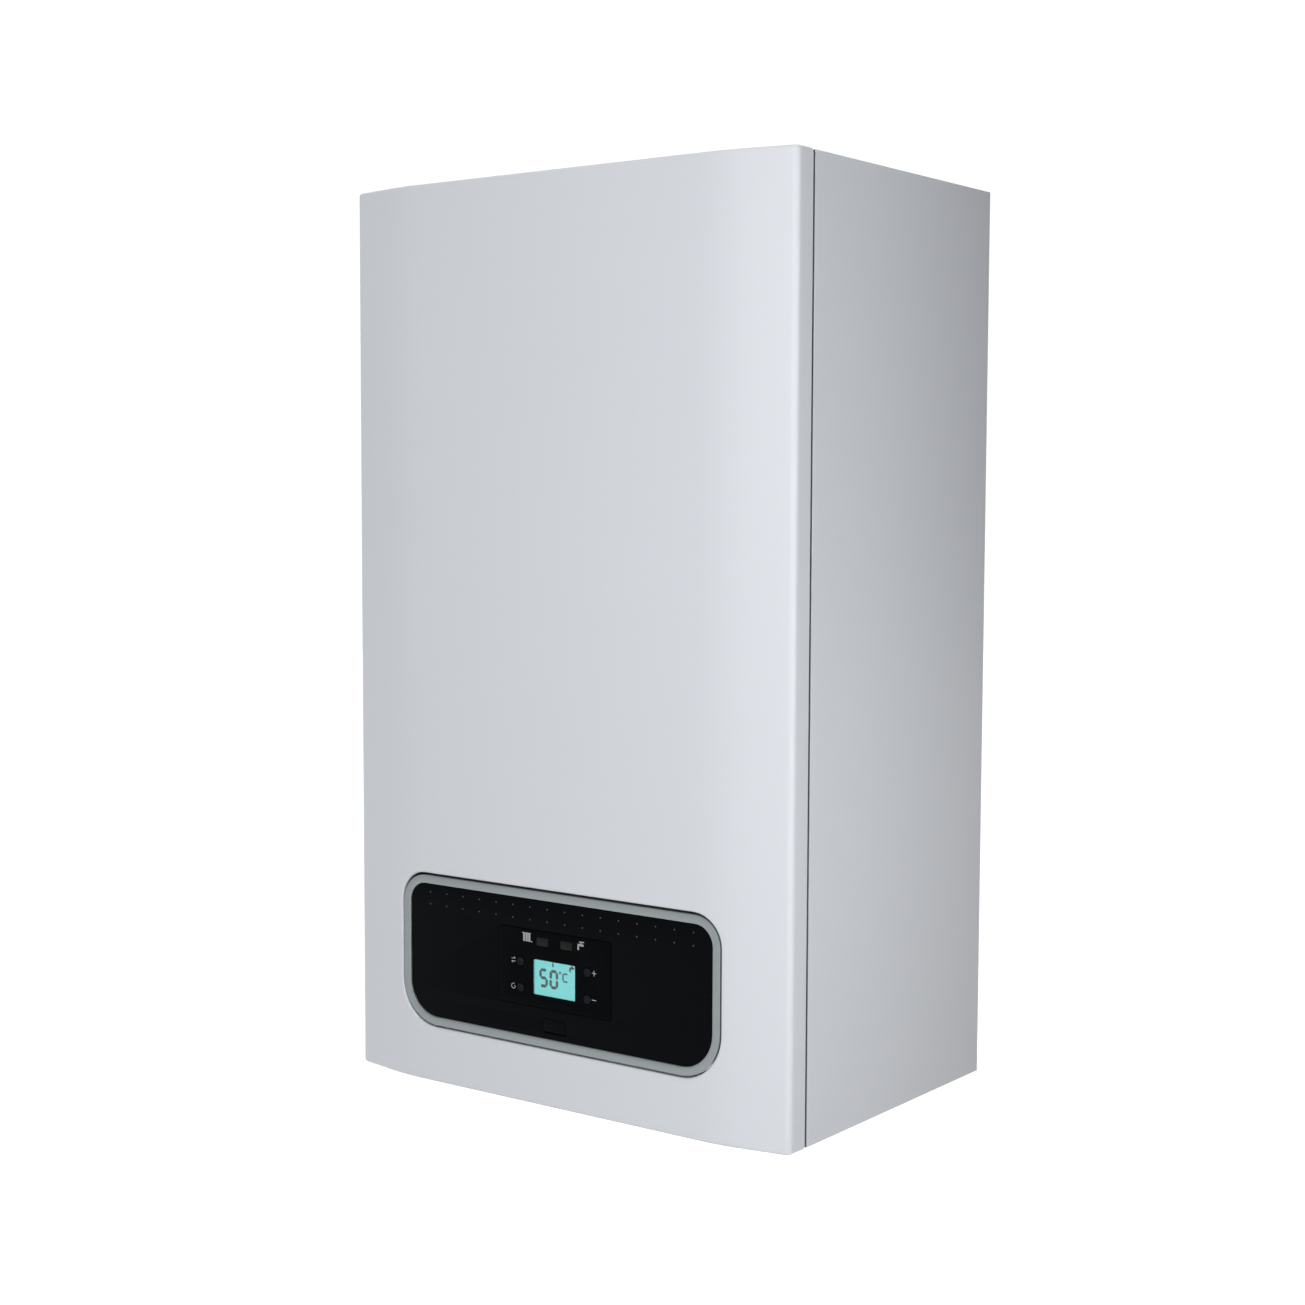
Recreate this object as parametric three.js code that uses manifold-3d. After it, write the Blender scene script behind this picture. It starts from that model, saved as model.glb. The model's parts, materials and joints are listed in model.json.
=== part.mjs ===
// A wall-hung combination boiler: a bowed white cover over a steel case, a fold-down control box
// in the cover's window, the fan, burner and heat exchanger above, and the pump, the water
// manifolds and the plate heat exchanger below them.
// Millimetres: x to the right, y towards the wall, z up. The origin is the middle of the wall
// bracket's rear face. Sizes below are given as x, depth out from the wall, and height above the
// bottom of the case.
import * as THREE from "three";
import { mergeVertices } from "three/addons/utils/BufferGeometryUtils.js";
import Module from "manifold-3d";

const wasm = await Module();
wasm.setup();

// ---------------------------------------------------------------- sizes

const FIT = 0.3; // clearance between pieces that rest on each other
const FLAT = 0.002; // faces closer to one plane than this count as one face

// The steel case and its bowed cover.
const CASE = {
  width: 410, // over the cover
  height: 692, // over the cover
  depth: 252, // from the wall to the front edge of the side panels
  inset: 0.6, // how far the panels stay inside the cover's outline
  sheet: 1.2,
  flange: 24, // the panels' front edge, folded inwards
};
const COVER = {
  gap: 3.8, // shadow gap between the panels and the cover
  sideReturn: 19, // depth of the cover's side
  bow: 10, // how far the middle of the front stands out from its edges
  bendRadius: 200,
  bevelAngle: 10.5, // degrees, the slope beside the vertical edges
  edgeRadius: 5,
  sheet: 1,
  rearLip: 22, // folded inwards at the sides and the top
  bottomLip: 9,
  windowLip: 4, // folded backwards round the window
};
const STUD = {
  radius: 2.5,
  reach: 10,
  sleeveWall: 3.1,
  sleeve: 7,
  inset: 8,
  play: 0.4,
  low: 60,
  drop: 60,
};
const SEAL = { width: 6, inset: 16, low: 30, drop: 9 };
const PAD = { margin: 2.7, low: 200, drop: 42, thick: 4 };

// What hangs the boiler on the wall.
const BRACKET = {
  drop: 52, // its middle below the top of the case
  length: 300,
  rise: 50,
  sheet: 2,
  hookSpread: 200,
  hookWidth: 40,
  hookLip: 15,
  screwRadius: 4.5,
  screwSpreads: [120, 270],
};
const FRAME = { standOff: 8, sheet: 1.2, sideFlange: 22, hookPlay: 3, hookReach: 15 };

// The tray that the water and gas fittings pass through.
const TRAY = { height: 28, sheet: 1.2, frontLip: 14, sideLip: 16 };
const TAILS = { pitch: 65, depth: 115, end: 4, play: 1.8, wideRadius: 13.2, slimRadius: 10.5, nut: 12 };
const GLAND = { x: -95, setBack: 35.5, radius: 9.6, bore: 4.5, nutRadius: 13, low: 13, high: 36 };

// The control box in the cover's window.
const RIM = {
  width: 302,
  height: 117.5,
  low: 44.5,
  band: 6.5,
  topRadius: 22,
  bottomRadius: 34,
  back: 1.4,
};
const WINDOW = { side: 1.3, top: 3 }; // gaps between the rim and the cover
const FASCIA = { back: 2.8, plate: 3, depth: 8, flange: 3, inset: 1.5 };
const TUB = { width: 252, low: 49, high: 160, depth: 47.7, wall: 2.4 };
const PIVOT = { back: 20, z: 44, radius: 2.5, lug: 5.5, lugHalf: 6, gap: 2.5, ear: 2, reach: 6.5 };
const OVERLAY = { width: 108, low: 74, high: 132, thick: 0.9, radius: 3, proud: 0.1 };
const SCREEN = { width: 40, height: 27, z: 96.7, glass: 1.2, caseWidth: 48, caseHeight: 34 };
const KEY = {
  spread: 64,
  top: 107,
  bottom: 87,
  radius: 3.3,
  collar: 4.5,
  collarThick: 1.4,
  stem: 2,
  travel: 1.2,
  proud: 1.1,
};
const LAMP = { spread: 23, z: 124, width: 11, height: 6.5, bar: 4.7 };
const FLAP = {
  width: 22,
  low: 56.2,
  high: 66.1,
  plate: 2,
  barrel: 1.2,
  pin: 0.8,
  axisBack: 1.5,
  play: 0.5,
};
const BOARD = {
  width: 220,
  low: 56,
  high: 152,
  thick: 1.6,
  postRadius: 3,
  postInset: 6,
  switchRise: 6,
};

// The sealed burner and heat exchanger.
const SHELL = {
  drop: 172, // its middle below the top of the case
  radius: 108,
  depth: 108,
  wall: 3,
  backWall: 4,
  rimProud: 4.5,
  rimThick: 6,
  drainReach: 7,
  sides: 24,
};
const COIL = { inner: 70, ribs: 4, groove: 5, margin: 5 };
const DOOR = {
  thick: 9,
  raised: 3,
  plugRadius: 66,
  plugDepth: 16,
  burnerBore: 17,
  nuts: 6,
  nutRadius: 4.6,
};
const BURNER = { radius: 32, wall: 1.5, length: 70, flange: 40, holes: 8 };
const ELECTRODE = { x: 40, drop: 30, radius: 5.5, flange: 9, reach: 22.7, tip: 40.3, wire: 1.3 };
const EXHAUST = {
  setIn: 52,
  radius: 41,
  bore: 38,
  drop: 30,
  spigotRadius: 40,
  spigotWall: 2.5,
  spigotRise: 8,
};
const COLLAR = { radius: 52.5, bore: 50, flange: 62, rise: 12, skirt: 10, thick: 2.5 };
const WATERWAY = { radius: 9, bossRadius: 13, boss: 10, root: 18, bore: 8, setIn: 17, rise: 50 };
const FAN = {
  x: -85,
  drop: 185, // its middle below the middle of the heat exchanger
  radius: 68,
  wall: 4,
  setBack: 30.3, // its front behind the burner door's
  depth: 50,
  chamber: 60,
  inlet: 26,
  outletWidth: 40,
  outletDepth: 44,
  wheel: 56,
  blades: 9,
  shaft: 4,
  motorRadius: 38,
  motorDepth: 33,
};
const MIXER = { radius: 34, bore: 20, length: 46.7, portGap: 23, portRadius: 12, portReach: 45 };
const PREMIX = {
  radius: 19,
  gap: 3.5,
  wall: 3,
  setBack: 48.8,
  standOff: 30.7,
  head: 26,
  flange: 33,
  bend: 36,
};
const INTAKE = { radius: 18, bend: 23, standOff: 24, rise: 105, bell: 24, bellHeight: 16, flange: 28 };
const VALVE = {
  left: 5,
  width: 62,
  setIn: 25, // its back in front of the fan's
  depth: 62,
  drop: 232, // its foot below the middle of the heat exchanger
  height: 84,
  coilRadius: 15,
  coilReach: 24,
};
const GAS = { radius: 9, nutRadius: 14, nut: 12, linkNut: 10, swanLow: 70, swanHigh: 38, socket: 40 };
const SPARK = { width: 42.9, setIn: 35, depth: 35, drop: 190, height: 70, plug: 22, plugRise: 14 };
const STRAP = { thick: 4.7, height: 30, tab: 27, tabThick: 7 };

// Water: vessel, manifolds, pump and trap.
const VESSEL = {
  drop: 20, // its middle below the middle of the heat exchanger
  radius: 160,
  gap: 3,
  shoulder: 30,
  bead: 3,
  beadHalf: 5,
  neckX: 20,
  neckRadius: 9,
  neckLength: 14.7,
};
const PLATES = {
  width: 190,
  setBack: 17, // its front behind the middle of the tails
  depth: 40,
  low: 62,
  high: 136,
  corner: 12,
  count: 6,
  port: 75,
  portRadius: 10,
  portRise: 2,
};
const MANIFOLD = {
  radius: 19,
  flowTop: 150,
  returnTop: 148,
  armHalf: 13,
  armDepth: 31,
  armLow: 75,
  armHigh: 123,
};
const DIVERTER = { boss: 16, reach: 37, bore: 3.6, stroke: 6, motorDepth: 46, motorWidth: 50 };
const RELIEF = {
  z: 62,
  boss: 13,
  reach: 43,
  stem: 3,
  knob: 17,
  knobDepth: 20,
  outletReach: 32,
  outletRadius: 8,
};
const FILL = { boss: 9, low: 40, stem: 3.2, knob: 13, knobLow: 7, knobHeight: 18 };
const DRAIN = { z: 50, boss: 9, reach: 31, stem: 2.6, knob: 8 };
const SENSOR = { z: 123, boss: 9, reach: 22, length: 33 };
const PUMP = {
  beside: 5, // its middle to the left of the outer tail
  rise: 60, // its middle above the manifold
  radius: 50,
  setBack: 35, // its back behind the middle of the tails
  depth: 48,
  chamber: 42,
  chamberWall: 18,
  wheel: 38,
  shaft: 4,
  motorRadius: 44,
  motorDepth: 77,
  boxWidth: 70,
  boxRise: 64,
  inletRadius: 12.5,
  outletOffset: 25,
  outletSetIn: 25,
  outletRise: 54,
  ventOffset: -27,
  ventSetIn: 20,
  ventRise: 92,
};
const PIPE = {
  radius: 9,
  bend: 22,
  nutRadius: 15,
  nut: 10,
  sideGap: 15.9,
  runGap: 9.7,
  swanLow: 33,
  swanHigh: 60,
};
const VESSEL_PIPE = { radius: 5, bend: 12, boss: 8, runHigh: 20, runLow: 15, beside: 12, forward: 15 };
const TRAP = {
  sideGap: 8.9,
  depth: 42,
  radius: 22,
  low: 48,
  high: 170,
  neck: 12,
  neckTop: 182,
  bore: 9,
  end: 6,
};
const CONDENSATE = {
  radius: 8,
  bend: 18,
  x: 40,
  drop: 75,
  side: 20,
  depth: 60,
  fall: 40,
  trapRise: 30,
  cuff: 12,
};

// ---------------------------------------------------------------- places worked out from them

const caseHalf = CASE.width / 2 - CASE.inset;
const caseBottom = CASE.inset;
const caseTop = CASE.height - CASE.inset;
const innerHalf = caseHalf - CASE.sheet - FIT;
const coverHalf = CASE.width / 2;
const coverBack = CASE.depth + COVER.gap;
const edgeDepth = coverBack + COVER.sideReturn;
const faceDepth = edgeDepth + COVER.bow;
const frameFront = FRAME.standOff + FRAME.sheet;
const bevelSlope = THREE.MathUtils.degToRad(COVER.bevelAngle);
const bevelDrop = COVER.bow - COVER.bendRadius * (1 - Math.cos(bevelSlope));
const bevelRun = COVER.bendRadius * Math.sin(bevelSlope) + bevelDrop / Math.tan(bevelSlope);
const coverFlat = coverHalf - bevelRun;
const trayTop = TRAY.height + TRAY.sheet;
const trayFront = CASE.depth - CASE.sheet - FIT;
const rimFront = faceDepth - RIM.back;
const fasciaFront = faceDepth - FASCIA.back;
const fasciaBack = fasciaFront - FASCIA.depth;
const flangeFront = fasciaBack + FASCIA.flange;
const plateBack = fasciaFront - FASCIA.plate;
const pivotDepth = fasciaFront - PIVOT.back;
const tubFront = fasciaBack - FIT;
const tubBack = tubFront - TUB.depth;
const boardBack = pivotDepth + 0.4;
const boardFront = boardBack + BOARD.thick;

// From the cover backwards: the duct, the burner door, the heat exchanger, its strap, the vessel.
const premixDepth = faceDepth - PREMIX.setBack;
const doorFront = premixDepth - PREMIX.standOff;
const doorBack = doorFront - DOOR.thick;
const shellFront = doorBack - FIT;
const shellBack = shellFront - SHELL.depth;
const strapFront = shellBack - FIT;
const strapBack = strapFront - STRAP.thick;
const vesselFront = strapBack - VESSEL.gap;
const vesselBack = frameFront + FIT;
const vesselMiddle = (vesselBack + vesselFront) / 2;
const exhaustDepth = shellBack + EXHAUST.setIn;
const waterDepth = shellBack + WATERWAY.setIn;
const fanFront = doorFront - FAN.setBack;
const fanBack = fanFront - FAN.depth;
const fanMiddle = (fanBack + fanFront) / 2;
const fanMotorBack = fanBack - FAN.motorDepth;
const mixerBack = fanFront + FIT;
const mixerFront = mixerBack + MIXER.length;
const mixerPortDepth = fanFront + MIXER.portGap;
const intakeDepth = mixerFront + INTAKE.standOff;
const valveBack = fanBack + VALVE.setIn;
const valveFront = valveBack + VALVE.depth;
const sparkBack = fanBack + SPARK.setIn;
const sparkFront = sparkBack + SPARK.depth;

// From the top of the case downwards.
const bracketZ = CASE.height - BRACKET.drop;
const shellZ = CASE.height - SHELL.drop;
const shellUnder = shellZ - SHELL.radius - SHELL.drainReach;
const exhaustTop = CASE.height - EXHAUST.drop;
const spigotTop = CASE.height + EXHAUST.spigotRise;
const collarTop = CASE.height + COLLAR.rise;
const flowZ = shellZ + WATERWAY.rise;
const returnZ = shellZ - WATERWAY.rise;
const vesselZ = shellZ - VESSEL.drop;
const fanZ = shellZ - FAN.drop;
const intakeTop = fanZ + INTAKE.rise;
const valveLow = shellZ - VALVE.drop;
const valveHigh = valveLow + VALVE.height;
const sparkLow = shellZ - SPARK.drop;
const sparkHigh = sparkLow + SPARK.height;

// From the middle to the sides.
const flowX = -2 * TAILS.pitch;
const coldX = TAILS.pitch;
const returnX = 2 * TAILS.pitch;
const fillX = (coldX + returnX) / 2;
const shellRim = SHELL.radius + SHELL.rimProud;
const ductX = -shellRim - PREMIX.gap - PREMIX.radius;
const waterReach = SHELL.radius + WATERWAY.boss;
const returnRunX = waterReach + FIT + PIPE.bend + PIPE.runGap;
const valveRight = VALVE.left + VALVE.width;
const sparkLeft = innerHalf - SPARK.width;
const trapX = innerHalf - TRAP.radius - TRAP.sideGap;
const flowRunX = PIPE.radius + PIPE.sideGap - innerHalf;
const portEnd = FAN.x + MIXER.portReach;

// From the pipe tails forwards and backwards.
const platesFront = TAILS.depth - PLATES.setBack;
const platesBack = platesFront - PLATES.depth;
const diverterFront = TAILS.depth + DIVERTER.reach;
const diverterMotorFront = diverterFront + DIVERTER.motorDepth;
const reliefFront = TAILS.depth + RELIEF.reach;
const reliefOutletDepth = TAILS.depth + RELIEF.outletReach;
const drainFront = TAILS.depth + DRAIN.reach;
const sensorFront = TAILS.depth + SENSOR.reach;
const pumpX = returnX - PUMP.beside;
const pumpZ = MANIFOLD.returnTop + PUMP.rise;
const pumpBack = TAILS.depth - PUMP.setBack;
const pumpFront = pumpBack + PUMP.depth;
const chamberBack = pumpBack + PUMP.chamberWall;
const pumpMotorFront = pumpFront + PUMP.motorDepth;
const pumpOutletX = pumpX + PUMP.outletOffset;
const pumpOutletDepth = pumpBack + PUMP.outletSetIn;
const pumpOutletTop = pumpZ + PUMP.outletRise;
const ventX = pumpX + PUMP.ventOffset;
const ventDepth = pumpBack + PUMP.ventSetIn;
const ventTop = pumpZ + PUMP.ventRise;
const glandDepth = trayFront - GLAND.setBack;

// ---------------------------------------------------------------- finishes

function finish(color, roughness, metalness) {
  return new THREE.MeshStandardMaterial({ color, roughness, metalness });
}
const WHITE_PAINT = finish(0xe4e7ea, 0.42, 0);
const GALVANISED = finish(0xb4b8ba, 0.45, 0.85);
const GREY_PAINT = finish(0xa9adb0, 0.5, 0.1);
const SILVER_PLASTIC = finish(0x9aa3a8, 0.32, 0.5);
const BLACK_PLASTIC = finish(0x16181a, 0.3, 0);
const GLOSS_BLACK = finish(0x0a0b0d, 0.08, 0);
const DARK_PLASTIC = finish(0x2a2d30, 0.55, 0);
const GREY_PLASTIC = finish(0x6d7276, 0.5, 0);
const BLUE_PLASTIC = finish(0x2c5f9e, 0.45, 0);
const RED_PLASTIC = finish(0xb3261e, 0.4, 0);
const CLEAR_GLASS = finish(0x7fc9cc, 0.08, 0);
const CIRCUIT_GREEN = finish(0x1d5a35, 0.55, 0);
const LIGHT_PIPE = finish(0xd9e4e6, 0.15, 0);
const FOAM = finish(0x3a3c3e, 0.95, 0);
const SOFT_RUBBER = finish(0x1c1d1e, 0.85, 0);
const RED_PAINT = finish(0xb0302a, 0.45, 0.1);
const STAINLESS = finish(0xc3c6c8, 0.3, 0.95);
const CAST_ALUMINIUM = finish(0x9da1a4, 0.55, 0.85);
const CERAMIC = finish(0xe9e4d8, 0.5, 0);
const COPPER = finish(0xb87345, 0.3, 0.95);
const BRASS = finish(0xb9974e, 0.35, 0.9);
const CAST_IRON = finish(0x3d4144, 0.7, 0.5);

// ---------------------------------------------------------------- ways of making a solid

// A closed surface as a solid that can be joined and cut.
function solid(geometry) {
  const bare = new THREE.BufferGeometry();
  bare.setAttribute("position", geometry.getAttribute("position"));
  bare.setIndex(geometry.index);
  const merged = mergeVertices(bare, 1e-3);
  const corners = merged.index.array;
  const triVerts = [];
  for (let i = 0; i < corners.length; i += 3) {
    const [a, b, c] = corners.subarray(i, i + 3);
    if (a !== b && b !== c && c !== a) triVerts.push(a, b, c);
  }
  const surface = () =>
    new wasm.Mesh({
      numProp: 3,
      vertProperties: merged.attributes.position.array,
      triVerts: new Uint32Array(triVerts),
    });
  const made = new wasm.Manifold(surface());
  if (made.volume() > 0) return made;
  triVerts.reverse();
  return new wasm.Manifold(surface());
}

function join(...pieces) {
  return wasm.Manifold.union(pieces.flat());
}

function cut(body, ...tools) {
  return body.subtract(join(...tools));
}

function bothSides(make) {
  return [-1, 1].map(make);
}

// One matrix puts a unit shape in place, so that faces meant to meet get the same coordinates.
function placed(geometry, xAxis, yAxis, zAxis, origin) {
  const axes = [xAxis, yAxis, zAxis].map((axis) => new THREE.Vector3(...axis));
  geometry.applyMatrix4(new THREE.Matrix4().makeBasis(...axes).setPosition(...origin));
  return solid(geometry);
}

// A box from its limits across, out from the wall and up; each pair in either order.
function block(x, d, z) {
  const [width, depth, height] = [x, d, z].map(([from, to]) => Math.abs(to - from));
  const box = new THREE.BoxGeometry(1, 1, 1);
  box.translate(0.5, 0.5, 0.5);
  const corner = [Math.min(...x), -Math.max(...d), Math.min(...z)];
  return placed(box, [width, 0, 0], [0, depth, 0], [0, 0, height], corner);
}

function sidesOf(radius) {
  if (radius < 3) return 8;
  if (radius < 10) return 10;
  if (radius < 30) return 14;
  return radius < 70 ? 20 : 28;
}

// Round bars: across the case, out from the wall, and upright.
function unitBar(radius, sides) {
  const bar = new THREE.CylinderGeometry(radius, radius, 1, sides);
  bar.translate(0, 0.5, 0);
  return bar;
}

function barX([d, z], [from, to], radius, sides = sidesOf(radius)) {
  const bar = unitBar(radius, sides);
  return placed(bar, [0, -1, 0], [to - from, 0, 0], [0, 0, 1], [from, -d, z]);
}

function barD([x, z], [from, to], radius, sides = sidesOf(radius)) {
  const bar = unitBar(radius, sides);
  return placed(bar, [1, 0, 0], [0, from - to, 0], [0, 0, -1], [x, -from, z]);
}

function barZ([x, d], [from, to], radius, sides = sidesOf(radius)) {
  const bar = unitBar(radius, sides);
  return placed(bar, [1, 0, 0], [0, 0, to - from], [0, -1, 0], [x, -d, from]);
}

// Turned pieces: a profile of radius and depth, or of radius and height, round its own axis.
function turned(profile, sides) {
  return new THREE.LatheGeometry(
    profile.map(([radius, along]) => new THREE.Vector2(radius, along)),
    sides,
  );
}

function turnedD([x, z], profile, sides = 24) {
  return placed(turned(profile, sides), [1, 0, 0], [0, -1, 0], [0, 0, -1], [x, 0, z]);
}

function turnedZ([x, d], profile, sides = 24) {
  return placed(turned(profile, sides), [1, 0, 0], [0, 0, 1], [0, -1, 0], [x, -d, 0]);
}

// A flat outline seen from the front, made thick from one depth to another.
function plateD(shape, [from, to], curveSegments = 4) {
  const plate = new THREE.ExtrudeGeometry(shape, { depth: 1, bevelEnabled: false, curveSegments });
  return placed(plate, [1, 0, 0], [0, 0, 1], [0, from - to, 0], [0, -from, 0]);
}

// A flat outline seen from above, made thick from one height to another.
function plateZ(shape, [from, to], curveSegments = 4) {
  const plate = new THREE.ExtrudeGeometry(shape, { depth: 1, bevelEnabled: false, curveSegments });
  return placed(plate, [1, 0, 0], [0, 1, 0], [0, 0, to - from], [0, 0, from]);
}

// An upright rectangle with rounded corners.
function roundedRectangle([left, right], [low, high], topRadius, bottomRadius = topRadius) {
  const shape = new THREE.Shape();
  const quarter = Math.PI / 2;
  shape.moveTo(left + bottomRadius, low);
  shape.lineTo(right - bottomRadius, low);
  shape.absarc(right - bottomRadius, low + bottomRadius, bottomRadius, -quarter, 0);
  shape.lineTo(right, high - topRadius);
  shape.absarc(right - topRadius, high - topRadius, topRadius, 0, quarter);
  shape.lineTo(left + topRadius, high);
  shape.absarc(left + topRadius, high - topRadius, topRadius, quarter, 2 * quarter);
  shape.lineTo(left, low + bottomRadius);
  shape.absarc(left + bottomRadius, low + bottomRadius, bottomRadius, 2 * quarter, 3 * quarter);
  return shape;
}

// A pipe's middle line: straight runs joined by round bends, kept as the rings of the pipe.
class Route extends THREE.Curve {
  constructor(corners, bend) {
    super();
    this.rings = [];
    const points = corners.map(([x, d, z]) => new THREE.Vector3(x, -d, z));
    points.forEach((point, i) => {
      const before = points[i - 1];
      const after = points[i + 1];
      const inward = before && point.clone().sub(before).normalize();
      const outward = after && after.clone().sub(point).normalize();
      if (before && after) this.addBend(point, inward, outward, bend);
      else this.rings.push({ point, heading: inward || outward });
    });
  }

  addBend(corner, inward, outward, bend) {
    const angle = inward.angleTo(outward);
    if (angle < 0.01) return; // a corner on a straight run
    const setBack = bend * Math.tan(angle / 2);
    const side = outward.clone().addScaledVector(inward, -Math.cos(angle)).normalize();
    const steps = Math.max(2, Math.round(angle / 0.4));
    for (let i = 0; i <= steps; i++) {
      const turn = (angle * i) / steps;
      const point = corner.clone();
      point.addScaledVector(inward, bend * Math.sin(turn) - setBack);
      point.addScaledVector(side, bend * (1 - Math.cos(turn)));
      const heading = inward.clone().multiplyScalar(Math.cos(turn));
      this.rings.push({ point, heading: heading.addScaledVector(side, Math.sin(turn)) });
    }
  }

  getSpacedPoints() {
    return this.rings.map((ring) => ring.point);
  }

  getTangentAt(along, target = new THREE.Vector3()) {
    return target.copy(this.rings[Math.round(along * (this.rings.length - 1))].heading);
  }
}

function pipe(corners, radius, bend = PIPE.bend, sides = 8) {
  const route = new Route(corners, bend);
  const ring = new THREE.Shape();
  for (let i = 0; i < sides; i++) {
    const angle = (2 * Math.PI * (i + 0.5)) / sides;
    const [x, y] = [radius * Math.cos(angle), radius * Math.sin(angle)];
    if (i) ring.lineTo(x, y);
    else ring.moveTo(x, y);
  }
  const tube = new THREE.ExtrudeGeometry(ring, {
    steps: route.rings.length - 1,
    extrudePath: route,
  });
  return solid(tube);
}

// ---------------------------------------------------------------- the group and its pieces

const combiBoiler = new THREE.Group();
const onBracket = new THREE.Group();
onBracket.position.z = -bracketZ;
combiBoiler.add(onBracket);

// Flat faces that meet edge to edge are joined into one before the piece is made.
function part(name, body, material) {
  const made = body.asOriginal().simplify(FLAT).getMesh();
  const geometry = new THREE.BufferGeometry();
  geometry.setAttribute("position", new THREE.BufferAttribute(made.vertProperties, 3));
  geometry.setIndex(new THREE.BufferAttribute(made.triVerts, 1));
  geometry.computeVertexNormals();
  const piece = new THREE.Mesh(geometry, material);
  piece.name = name;
  onBracket.add(piece);
}

// ---------------------------------------------------------------- wall bracket and back frame

const hookTop = bracketZ + BRACKET.rise / 2;

function hookSpan(side, width) {
  const middle = (side * BRACKET.hookSpread) / 2;
  return [middle - width / 2, middle + width / 2];
}

function makeWallBracket() {
  const low = bracketZ - BRACKET.rise / 2;
  const reach = FRAME.hookReach;
  const strip = block([-BRACKET.length / 2, BRACKET.length / 2], [0, BRACKET.sheet], [low, hookTop]);
  const hooks = bothSides((side) => {
    const span = hookSpan(side, BRACKET.hookWidth);
    const shelf = block(span, [0, reach], [hookTop - BRACKET.sheet, hookTop]);
    const lip = block(
      span,
      [reach - BRACKET.sheet, reach],
      [hookTop - BRACKET.sheet, hookTop + BRACKET.hookLip],
    );
    return join(shelf, lip);
  });
  const screws = BRACKET.screwSpreads.flatMap((spread) =>
    bothSides((side) =>
      barD([(side * spread) / 2, bracketZ], [-1, BRACKET.sheet + 1], BRACKET.screwRadius, 12),
    ),
  );
  part("wall_bracket", cut(join(strip, ...hooks), ...screws), GALVANISED);
}

function makeBackFrame() {
  const low = caseBottom;
  const high = caseTop - CASE.sheet - FIT;
  const sheet = block([-innerHalf, innerHalf], [FRAME.standOff, frameFront], [low, high]);
  const rims = [low, high - FRAME.sheet].map((z) =>
    block([-innerHalf, innerHalf], [0, frameFront], [z, z + FRAME.sheet]),
  );
  const sides = bothSides((side) =>
    block(
      [side * innerHalf, side * (innerHalf - FRAME.sheet)],
      [0, FRAME.standOff + FRAME.sideFlange],
      [low, high],
    ),
  );
  const slots = bothSides((side) =>
    block(
      hookSpan(side, BRACKET.hookWidth + 2 * FRAME.hookPlay),
      [-1, frameFront + 1],
      [hookTop - BRACKET.hookLip - BRACKET.sheet - FRAME.hookPlay, hookTop + FIT],
    ),
  );
  part("back_frame", cut(join(sheet, ...rims, ...sides), ...slots), GALVANISED);
}

// ---------------------------------------------------------------- side, top and bottom panels

const studHeights = [STUD.low, CASE.height - STUD.drop];
const studX = coverHalf - STUD.inset;
const studBore = STUD.radius + STUD.play;

function makeSidePanel(name, side) {
  const outer = side * caseHalf;
  const wall = block([outer, outer - side * CASE.sheet], [0, CASE.depth], [caseBottom, caseTop]);
  const flange = block(
    [outer, outer - side * CASE.flange],
    [CASE.depth - CASE.sheet, CASE.depth],
    [caseBottom, caseTop],
  );
  const sleeves = studHeights.map((z) =>
    barD(
      [side * studX, z],
      [CASE.depth - CASE.sheet - STUD.sleeve - 0.5, CASE.depth],
      STUD.radius + STUD.sleeveWall,
      12,
    ),
  );
  const bores = studHeights.map((z) => barD(
    [side * studX, z],
    [CASE.depth - 20, CASE.depth + 1],
    studBore,
    12,
  ));
  part(name, cut(join(wall, flange, ...sleeves), ...bores), WHITE_PAINT);
}

const topFlangeLow = caseTop - CASE.flange;
const betweenFlanges = caseHalf - CASE.flange - FIT;

function makeTopPanel() {
  const under = caseTop - CASE.sheet;
  const sheet = block([-innerHalf, innerHalf], [0, CASE.depth], [under, caseTop]);
  const front = block(
    [-betweenFlanges, betweenFlanges],
    [CASE.depth - CASE.sheet, CASE.depth],
    [topFlangeLow, under],
  );
  const sideFlange = bothSides((side) =>
    block(
      [side * innerHalf, side * (innerHalf - CASE.sheet)],
      [FRAME.standOff + FRAME.sideFlange + 1, CASE.depth - 3],
      [under - 12, under],
    ),
  );
  const cornerRelief = bothSides((side) =>
    block(
      [side * (innerHalf + 1), side * betweenFlanges],
      [CASE.depth - CASE.sheet - FIT, CASE.depth + 1],
      [under - 1, caseTop + 1],
    ),
  );
  const flueHole = barZ([0, exhaustDepth], [under - 1, caseTop + 1], COLLAR.radius + 0.5, 32);
  part("top_panel", cut(join(sheet, front, ...sideFlange), flueHole, ...cornerRelief), WHITE_PAINT);
}

const pivotX = TUB.width / 2 + PIVOT.lug + PIVOT.gap;

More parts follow.
